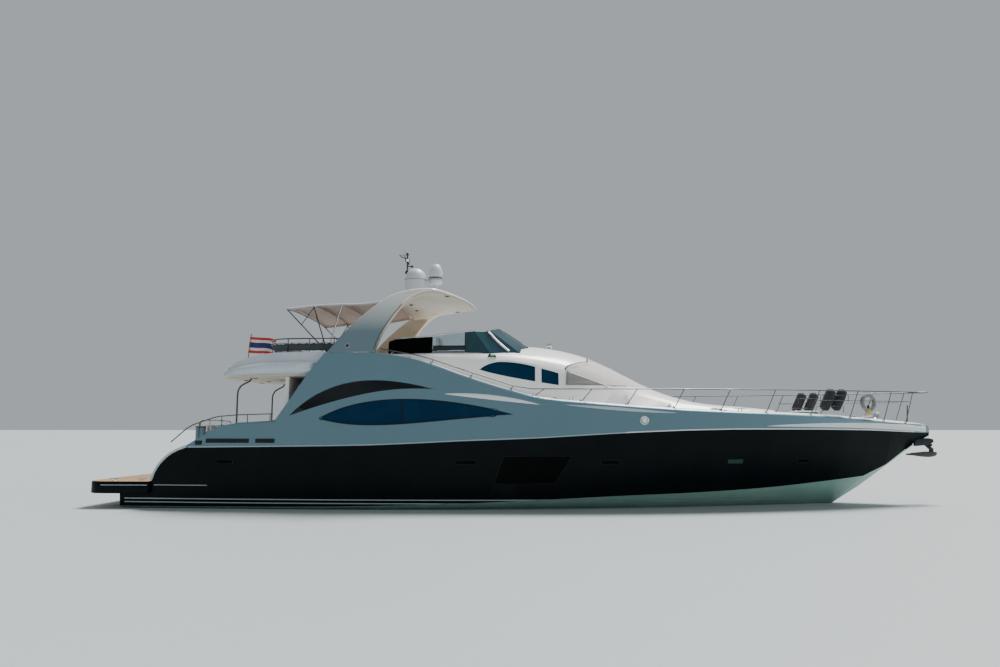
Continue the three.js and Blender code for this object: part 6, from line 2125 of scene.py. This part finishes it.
    def canopy_point(self, across: float, ahead: float) -> Point:
        """A point of the canopy from its share across and its share forward."""
        x = self.bows[0][0] + (self.bows[-1][0] - self.bows[0][0]) * ahead
        half = along([(row[0], row[1]) for row in self.bows], x)
        crests = [(row[0], row[2]) for row in self.bows]
        crest = sum(
            share * along(crests, x + off)
            for off, share in ((-0.35, 0.25), (0.0, 0.5), (0.35, 0.25))
        )
        spans = [row[0] for row in self.bows]
        droop = 0.0
        for a, b in zip(spans[:3], spans[1:4]):
            if a < x < b:
                droop = self.sag * math.sin(math.pi * (x - a) / (b - a))
        share = (across * 2 - 1) * 1.04
        edge = max(abs(share) - 1.0, 0.0) / 0.04
        inside = min(abs(share), 1.0)
        z = crest - 0.09 * inside**3 - droop * (1 - inside**2) - self.valance * edge
        return (x, math.copysign(half * inside + 0.006 * edge, share), z)

    def ensign(self) -> None:
        """The flag: level stripes, hanging in soft folds that grow towards its fly."""
        bm = bmesh.new()
        cloth_grid(bm, 40, 18, self.ensign_point)
        made = piece("ensign_cloth_piece", bm, ENSIGN_CLOTH, "boat", ("ensign",), 180.0)
        thickened(made, 0.0012)

    def ensign_point(self, out: float, up: float) -> Point:
        """A point of the flag from its share out from the staff and its share up the hoist."""
        reach = self.ensign_length * out
        wave = 0.05 * out**0.7 * math.sin(out * 9.0 + up * 1.3) + 0.02 * out * math.sin(out * 17.0 - up * 2.0)
        droop = 0.1 * out**1.6 + 0.03 * out * math.sin(out * 7.0)
        foot = self.ensign_foot + self.ensign_hoist * up
        return (self.luff_x + 0.088 * (up - 1) * 0.6 + reach * 0.985, wave, foot - droop)


@dataclass
class Antennas:
    """Dome, radar and mast on the arch."""

    dome: Point = (-3.63, 0.0, 6.76)
    radar_unit: Point = (-2.95, 0.0, 6.79)
    mast: Point = (-4.02, 0.5, 6.79)

    def build(self) -> None:
        """Dresses the gear on the arch."""
        dressed("satellite_dome", DOME_WHITE, smooth=40)
        dressed("radar", DOME_WHITE, smooth=40)
        dressed("mast", DARK_METAL, smooth=50)
        self.dome_trim()
        self.radar_trim()
        self.mast_gear()

    def dome_trim(self) -> None:
        """Seams and bolts of the large dome."""
        x, y, z = self.dome
        bm, bolts = bmesh.new(), bmesh.new()
        ring = [(x + 0.378 * math.cos(a), y + 0.378 * math.sin(a)) for a in full_turn(48)]
        for height, radius in ((0.165, 0.008), (0.63, 0.005)):
            add_tube(bm, [(u, v, z + height) for u, v in ring], radius, closed=True, sides=6)
        for turn in full_turn(10):
            add_turned(
                bolts, [(0.012, 0.0), (0.012, 0.006), (0.007, 0.01), (0.0, 0.01)],
                (x + 0.34 * math.cos(turn), 0.34 * math.sin(turn), z + 0.1), 8,
                (math.cos(turn), math.sin(turn), 0.1),
            )
        piece("dome_seams", bm, DARK_TRIM)
        piece("dome_bolts", bolts, STAINLESS)

    def radar_trim(self) -> None:
        """The dark bands round the unit and its ring of vents."""
        x, y, z = self.radar_unit
        bm = bmesh.new()
        for height, radius, thick in ((0.652, 0.235, 0.014), (0.5, 0.2, 0.01)):
            ring = [(x + radius * math.cos(a), y + radius * math.sin(a), z + height) for a in full_turn(40)]
            add_tube(bm, ring, thick, closed=True, sides=6)
        for turn in full_turn(16):
            u, v = math.cos(turn), math.sin(turn)
            add_bar(
                bm, (x + 0.246 * u, y + 0.246 * v, z + 0.575), (x + 0.246 * u, y + 0.246 * v, z + 0.625),
                0.008, 6,
            )
        piece("radar_slots", bm, DARK_TRIM)

    def mast_gear(self) -> None:
        """Whips, horn, wind gauge, all-round light and the spreader's fittings on the mast."""
        x, y, z = self.mast
        whips, gear, lens_ring = bmesh.new(), bmesh.new(), bmesh.new()
        for dy, top in ((-0.36, 1.68), (0.2, 1.6)):
            add_bar(whips, (x, y + dy, z + 1.32), (x - 0.03, y + dy, z + top), 0.008, 8, 0.004)
            add_turned(
                whips, [(0.018, 0.0), (0.02, 0.05), (0.012, 0.08), (0.0, 0.085)], (x, y + dy, z + 1.31), 10,
            )
        for turn in (0.0, 2.1, 4.2):
            tip = (x - 0.23 + 0.07 * math.cos(turn), y + 0.07 * math.sin(turn), z + 1.6)
            add_bar(gear, (x - 0.23, y, z + 1.6), tip, 0.004, 6)
            add_ball(gear, tip, (0.02, 0.02, 0.014), 6)
        add_bar(gear, (x - 0.23, y, z + 1.54), (x - 0.23, y, z + 1.62), 0.009, 8)
        for height in (0.72, 0.95):
            add_turned(
                gear, [(0.075, 0.0), (0.08, 0.03), (0.06, 0.09), (0.03, 0.11), (0.0, 0.11)],
                (x, y, z + height), 16,
            )
        add_turned(
            gear, [(0.015, 0.0), (0.02, 0.1), (0.05, 0.17), (0.055, 0.18), (0.04, 0.175), (0.0, 0.12)],
            (x + 0.02, y, z + 1.2), 18, (1, 0, 0),
        )
        add_turned(
            lens_ring, [(0.0, 0.0), (0.045, 0.0), (0.05, 0.03), (0.045, 0.08), (0.0, 0.085)],
            (x, y, z + 1.38), 18,
        )
        piece("mast_whips", whips, BLACK_PLASTIC)
        piece("mast_gear", gear, BLACK_PLASTIC)
        piece("masthead_light", lens_ring, LENS)


@dataclass
class Foredeck:
    """Windlass, anchor, locker lid, hatches, lamps and fenders."""

    fender_x: float = 9.33
    flush_hatches: tuple[float, ...] = (5.2, 6.7)
    fender_radius: float = 0.152
    blade: tuple[tuple[float, float, float, float], ...] = (
        (12.33, 0.012, 1.54, 1.52), (12.55, 0.1, 1.575, 1.5), (12.85, 0.17, 1.61, 1.46),
        (13.05, 0.19, 1.62, 1.45),
        (13.2, 0.16, 1.6, 1.47), (13.28, 0.09, 1.575, 1.5),
    )
    shank: Table = (
        (13.06, 1.5), (13.2, 1.53), (13.21, 1.72), (12.98, 1.93), (12.45, 1.975), (12.45, 1.905),
        (12.9, 1.86),
        (13.07, 1.7),
    )
    buoy: tuple[float, float, float] = (10.84, 0.93, 3.17)

    def build(self) -> None:
        """Dresses the foredeck gear."""
        self.windlass()
        self.anchor()
        self.locker_lid()
        self.hatches()
        self.lamps()
        self.lifebuoy()
        for side, label in SIDE_NAMES.items():
            self.fenders(side, label)

    def windlass(self) -> None:
        """Polished windlass with a grooved gypsy, its clutch and the chain to the roller."""
        dressed("windlass", STAINLESS, smooth=40)
        bm = bmesh.new()
        x, z = 11.5, 2.71
        for turn in full_turn(12):
            u, v = math.cos(turn), math.sin(turn)
            add_bar(bm, (x + 0.072 * u, 0.072 * v, z + 0.07), (x + 0.066 * u, 0.066 * v, z + 0.14), 0.007, 6)
        for side in SIDES:
            add_turned(
                bm, [(0.055, 0.0), (0.055, 0.02), (0.035, 0.035), (0.0, 0.035)],
                (x - 0.16, side * 0.2, deck_point("superstructure", x - 0.16, side * 0.2).z), 18,
            )
        piece("windlass_ribs", bm, STAINLESS)
        chain = bmesh.new()
        for i in range(20):
            x0 = 11.62 + 0.052 * i
            seat = deck_point("superstructure", x0, 0.0, 0.018)
            link = [
                (
                    x0 + 0.034 * math.cos(a), 0.017 * math.sin(a) * (i % 2),
                    seat.z + 0.017 * math.sin(a) * ((i + 1) % 2),
                )
                for a in full_turn(8)
            ]
            add_tube(chain, link, 0.006, closed=True, sides=6)
        piece("anchor_chain", chain, STAINLESS)

    def anchor(self) -> None:
        """Cast anchor in its stem roller, between cheek plates."""
        plough = bmesh.new()
        loft(plough, [
            [
                (x, -w, top), (x, 0, keel), (x, w, top), (x, w * 0.95, top + 0.022), (x, 0, keel + 0.03),
                (x, -w * 0.95, top + 0.022),
            ]
            for x, w, top, keel in self.blade
        ], caps=True)
        plate(plough, self.shank, 0.036, lambda u, v: (u, -0.018, v), (0, 1, 0))
        eased(plough, corner_edges(plough, 45), 0.004)
        piece("anchor_plough", plough, ANCHOR_STEEL, stands_for=("anchor",))
        bm = bmesh.new()
        for side in SIDES:
            outline = [(12.62, 1.8), (13.05, 1.84), (13.2, 1.93), (13.2, 2.02), (13.05, 2.06), (12.62, 2.03)]
            plate(bm, outline, 0.012, lambda u, v, side=side: (u, side * 0.052, v), (0, side, 0))
        add_turned(
            bm, [(0.0, -0.05), (0.045, -0.05), (0.03, 0.0), (0.045, 0.05), (0.0, 0.05)], (13.12, 0, 1.84),
            20, (0, 1, 0),
        )
        eased(bm, corner_edges(bm, 50), 0.003)
        piece("stem_roller", bm, DARK_METAL)

    def locker_lid(self) -> None:
        """Moulded lid with a raised grip panel, hinges and a seal."""
        dressed("foredeck_hatch", WHITE, "foredeck_hatch", ease=0.012)
        low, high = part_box("foredeck_hatch")
        bm, metal, seal = bmesh.new(), bmesh.new(), bmesh.new()
        top = 2.929
        plate(
            bm, rounded_outline(low.x + 0.12, high.x - 0.06, low.y + 0.06, high.y - 0.06, 0.05), 0.006,
            lambda u, v: (u, v, top - 0.001), (0, 0, 1),
        )
        piece("locker_lid_panel", bm, DECK, "foredeck_hatch")
        for y in (-0.2, 0.2):
            add_bar(
                metal, (high.x - 0.004, y - 0.05, top - 0.008), (high.x - 0.004, y + 0.05, top - 0.008),
                0.011, 12,
            )
        piece("locker_hinges", metal, STAINLESS, "foredeck_hatch")
        add_rim(seal, [(x, y, 2.892) for x, y in rounded_outline(8.9, 9.5, -0.3, 0.3, 0.03)], 0.005)
        piece("locker_seal", seal, BLACK_RUBBER)

    def hatches(self) -> None:
        """Flush tinted hatches in the trunk, each in a bright frame."""
        glass, frames = bmesh.new(), bmesh.new()
        for x in self.flush_hatches:
            outline = rounded_outline(x - 0.27, x + 0.27, -0.27, 0.27, 0.06)
            ground = [deck_point("cabin_roof", u, v, 0.004) for u, v in outline]
            add_tube(frames, ground, 0.014, closed=True, bend=Bend.STRAIGHT)
            low, high = min(ground, key=lambda p: p.x), max(ground, key=lambda p: p.x)
            slope = (high.z - low.z) / (high.x - low.x)
            plate(glass, outline, 0.012, lambda u, v: (u, v, low.z + (u - low.x) * slope + 0.002), (0, 0, 1))
        piece("trunk_hatch_glass", glass, TINTED)
        piece("trunk_hatch_frames", frames, STAINLESS)

    def lamps(self) -> None:
        """Side lamps beside the screen, and two horns and a searchlight on the roof."""
        shells, red, green = bmesh.new(), bmesh.new(), bmesh.new()
        for side in SIDES:
            seat = deck_point("cabin_roof", -0.9, side * 1.98)
            outline = [(-0.14, 0.0), (0.14, 0.0), (0.1, 0.09), (-0.1, 0.1)]
            plate(
                shells, outline, 0.09,
                lambda u, v, seat=seat, side=side: (seat.x + u, seat.y - side * 0.05, seat.z + v - 0.03),
                (0, side, 0),
            )
            add_ball(
                green if side < 0 else red, (seat.x + 0.02, seat.y + side * 0.045, seat.z + 0.025),
                (0.07, 0.018, 0.032), 10,
            )
        eased(shells, corner_edges(shells, 40), 0.012, 3)
        piece("side_lamp_shells", shells, BLACK_PLASTIC)
        piece("port_side_lamp", red, RED_LENS)
        piece("starboard_side_lamp", green, GREEN_LENS)
        base, lamp = bmesh.new(), bmesh.new()
        seat = deck_point("cabin_roof", 0.9, 0.0)
        add_turned(base, [(0.07, -0.01), (0.075, 0.01), (0.03, 0.03), (0.03, 0.09), (0.0, 0.09)], seat, 24)
        add_turned(
            base, [(0.0, -0.09), (0.06, -0.08), (0.085, 0.0), (0.088, 0.08), (0.08, 0.09), (0.0, 0.075)],
            seat + Vector((0, 0, 0.14)), 28, (1, 0, 0.05),
        )
        add_turned(lamp, [(0.0, 0.082), (0.078, 0.084)], seat + Vector((0, 0, 0.14)), 28, (1, 0, 0.05))
        for dy, length in ((0.35, 0.3), (0.45, 0.22)):
            start = deck_point("cabin_roof", 0.7, dy) + Vector((0, 0, 0.05))
            add_turned(
                base,
                [
                    (0.03, 0.0), (0.018, 0.03), (0.018, length * 0.6), (0.045, length), (0.04, length),
                    (0.0, length * 0.7),
                ],
                start, 18, (1, 0, 0),
            )
            add_turned(base, [(0.02, -0.05), (0.02, 0.0)], start + Vector((0.06, 0, 0)), 12)
        piece("searchlight_and_horns", base, STAINLESS)
        piece("searchlight_glass", lamp, LENS)

    def lifebuoy(self) -> None:
        """A ring buoy with its grab line and a float light, hung inside the starboard rail."""
        x, y, z = self.buoy
        ring, line, light, cap = (bmesh.new() for _ in range(4))

        def on_ring(turn: float, radius: float) -> Vector:
            """A point of a circle that stands up along the rail."""
            ahead = Vector((1.0, 0.4, 0.0)).normalized()
            return Vector((x, -y, z)) + ahead * (radius * math.cos(turn)) + Vector(
                (0, 0, radius * math.sin(turn)),
            )

        turns = full_turn(24)
        add_tube(ring, [on_ring(t, 0.235) for t in turns], 0.062, closed=True, sides=16)
        add_tube(
            line, [on_ring(t, 0.31 + 0.012 * math.cos(4 * t)) for t in turns], 0.006, closed=True, sides=6,
        )
        for i in range(4):
            centre = on_ring(math.pi * (i / 2 + 0.25), 0.235)
            way = (on_ring(math.pi * (i / 2 + 0.25) + 0.1, 0.235) - centre).normalized()
            add_turned(line, [(0.062, -0.03), (0.066, -0.03), (0.066, 0.03), (0.062, 0.03)], centre, 16, way)
        foot = Vector((x - 0.02, -y - 0.03, z - 0.36))
        add_turned(light, [(0.0, 0.0), (0.05, 0.0), (0.055, 0.03), (0.055, 0.16), (0.0, 0.17)], foot, 18)
        add_turned(cap, [(0.0, 0.17), (0.035, 0.17), (0.04, 0.2), (0.035, 0.27), (0.0, 0.28)], foot, 16)
        piece("lifebuoy", ring, BUOY_GREY, smooth=60.0)
        piece("lifebuoy_line", line, FENDER_ROPE)
        piece("float_light_body", light, BUOY_YELLOW)
        piece("float_light_cap", cap, BLACK_PLASTIC)

    def fenders(self, side: int, label: str) -> None:
        """Two plump fenders with eyes and lashings, in a hooped rack."""
        node = f"fender_rack_{label}"
        low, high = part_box(node)
        bm, metal, ropes = bmesh.new(), bmesh.new(), bmesh.new()
        inner = min(abs(low.y), abs(high.y))
        for i in range(2):
            x = self.fender_x + 0.38 * i
            y = side * (inner + 0.14 + (0.095 if i == 0 else 0.0))
            foot, head = Vector((x, y, 2.93)), Vector((x + 0.3, y, 3.56))
            reach = (head - foot).length
            r = self.fender_radius
            half = [(0.0, 0.0), (0.045, 0.0), (0.055, 0.012), (r * 0.7, 0.022), (r * 0.93, 0.06), (r, 0.12)]
            body = [*half, *((radius, reach - h) for radius, h in reversed(half))]
            add_turned(bm, body, foot, 32, head - foot)
            for end, sign in ((foot, -1), (head, 1)):
                way = (head - foot).normalized()
                ring = [
                    end + way * sign * 0.012 + Vector((0, 0.026 * math.cos(a), 0)) + way * 0.026 * math.sin(a)
                    for a in full_turn(10)
                ]
                add_tube(metal, ring, 0.006, closed=True, sides=6)
            rope = [
                head, head + Vector((0.02, 0, 0)), head + Vector((0.05, side * 0.06, -0.1)),
                Vector((x + 0.33, y + side * 0.15, 3.4)),
            ]
            add_tube(ropes, rope, 0.008, sides=6)
        for z, shift in ((3.05, 0.06), (3.38, 0.22)):
            y0, y1 = side * (inner - 0.03), side * (inner + 0.29)
            x0, x1 = self.fender_x + shift - 0.17, self.fender_x + shift + 0.55
            hoop = rounded_outline(x0, x1, min(y0, y1), max(y0, y1), 0.12)
            add_tube(metal, [(u, v, z) for u, v in hoop], 0.012, closed=True, bend=Bend.STRAIGHT)
            for u, v in ((x0, y0), (x1, y1)):
                add_tube(metal, [(u, v, z), (u - 0.03, v, z - 0.2)], 0.009, sides=6)
        piece(f"fenders_{label}", bm, FENDER_RUBBER, "boat", (node,), 50.0)
        piece(f"fender_hoops_{label}", metal, RAIL_STEEL)
        piece(f"fender_lashings_{label}", ropes, FENDER_ROPE)


@dataclass
class Studio:
    """Floor at the waterline, soft lights and the camera of the photograph."""

    eye: Point = (0.41, -24.49, 2.35)
    yaw: float = -2.7
    pitch: float = 7.42
    focal_pixels: float = 733.0
    image_width: int = 1000
    sensor: float = 36.0
    floor_size: float = 3000.0

    def build(self) -> None:
        """Makes the stage."""
        self.floor()
        self.lights()
        self.camera()

    def floor(self) -> None:
        """A plain pale plane at the waterline."""
        bm = bmesh.new()
        bmesh.ops.create_grid(bm, x_segments=1, y_segments=1, size=self.floor_size / 2)
        mesh = bpy.data.meshes.new("floor")
        bm.to_mesh(mesh)
        bm.free()
        material = bpy.data.materials.new("floor")
        material.use_nodes = True
        shader = material.node_tree.nodes["Principled BSDF"]
        shader.inputs["Base Color"].default_value = (0.42, 0.46, 0.47, 1)
        shader.inputs["Roughness"].default_value = 0.55
        mesh.materials.append(material)
        made = bpy.data.objects.new("floor", mesh)
        bpy.context.scene.collection.objects.link(made)

    def lights(self) -> None:
        """A soft key high over the boat, a weak one from the bow and a pale room."""
        self.lamp("key", (12.0, 14.0, 40.0), 20.0, 6.2, (1.0, 0.98, 0.95))
        self.lamp("bow", (38.0, -10.0, 14.0), 30.0, 0.3, (1.0, 0.98, 0.95))
        world = bpy.data.worlds.new("room")
        world.use_nodes = True
        background = world.node_tree.nodes["Background"]
        background.inputs["Color"].default_value = (0.78, 0.86, 0.91, 1)
        background.inputs["Strength"].default_value = 0.5
        bpy.context.scene.world = world

    def lamp(self, name: str, place: Point, spread: float, power: float, colour: Colour) -> None:
        """A far, soft light of a width in degrees that faces the boat's middle."""
        data = bpy.data.lights.new(name, "SUN")
        data.angle = math.radians(spread)
        data.energy = power
        data.color = colour
        made = bpy.data.objects.new(name, data)
        made.location = place
        made.rotation_euler = (Vector((0, 0, 2.5)) - Vector(place)).to_track_quat("-Z", "Y").to_euler()
        bpy.context.scene.collection.objects.link(made)

    def camera(self) -> None:
        """The photograph's own viewpoint and lens."""
        data = bpy.data.cameras.new("camera")
        data.sensor_width = self.sensor
        data.lens = self.focal_pixels * self.sensor / self.image_width
        data.clip_end = 5000.0
        made = bpy.data.objects.new("camera", data)
        made.location = self.eye
        yaw, pitch = math.radians(self.yaw), math.radians(self.pitch)
        ahead = Vector((math.sin(yaw) * math.cos(pitch), math.cos(yaw) * math.cos(pitch), math.sin(pitch)))
        made.rotation_euler = ahead.to_track_quat("-Z", "Y").to_euler()
        bpy.context.scene.collection.objects.link(made)
        bpy.context.scene.camera = made


def main() -> None:
    """Builds the sub-assemblies in order and reports each."""
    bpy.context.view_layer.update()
    for part in (
        Studio(), Hull(), RunningGear(), UpperWorks(), Glazing(), Rails(), Cockpit(), UpperDeck(), Antennas(),
        Foredeck(),
    ):
        part.build()
        log.info("%s done", type(part).__name__)


if __name__ == "__main__":
    logging.basicConfig(level=logging.INFO, format="%(message)s")
    main()
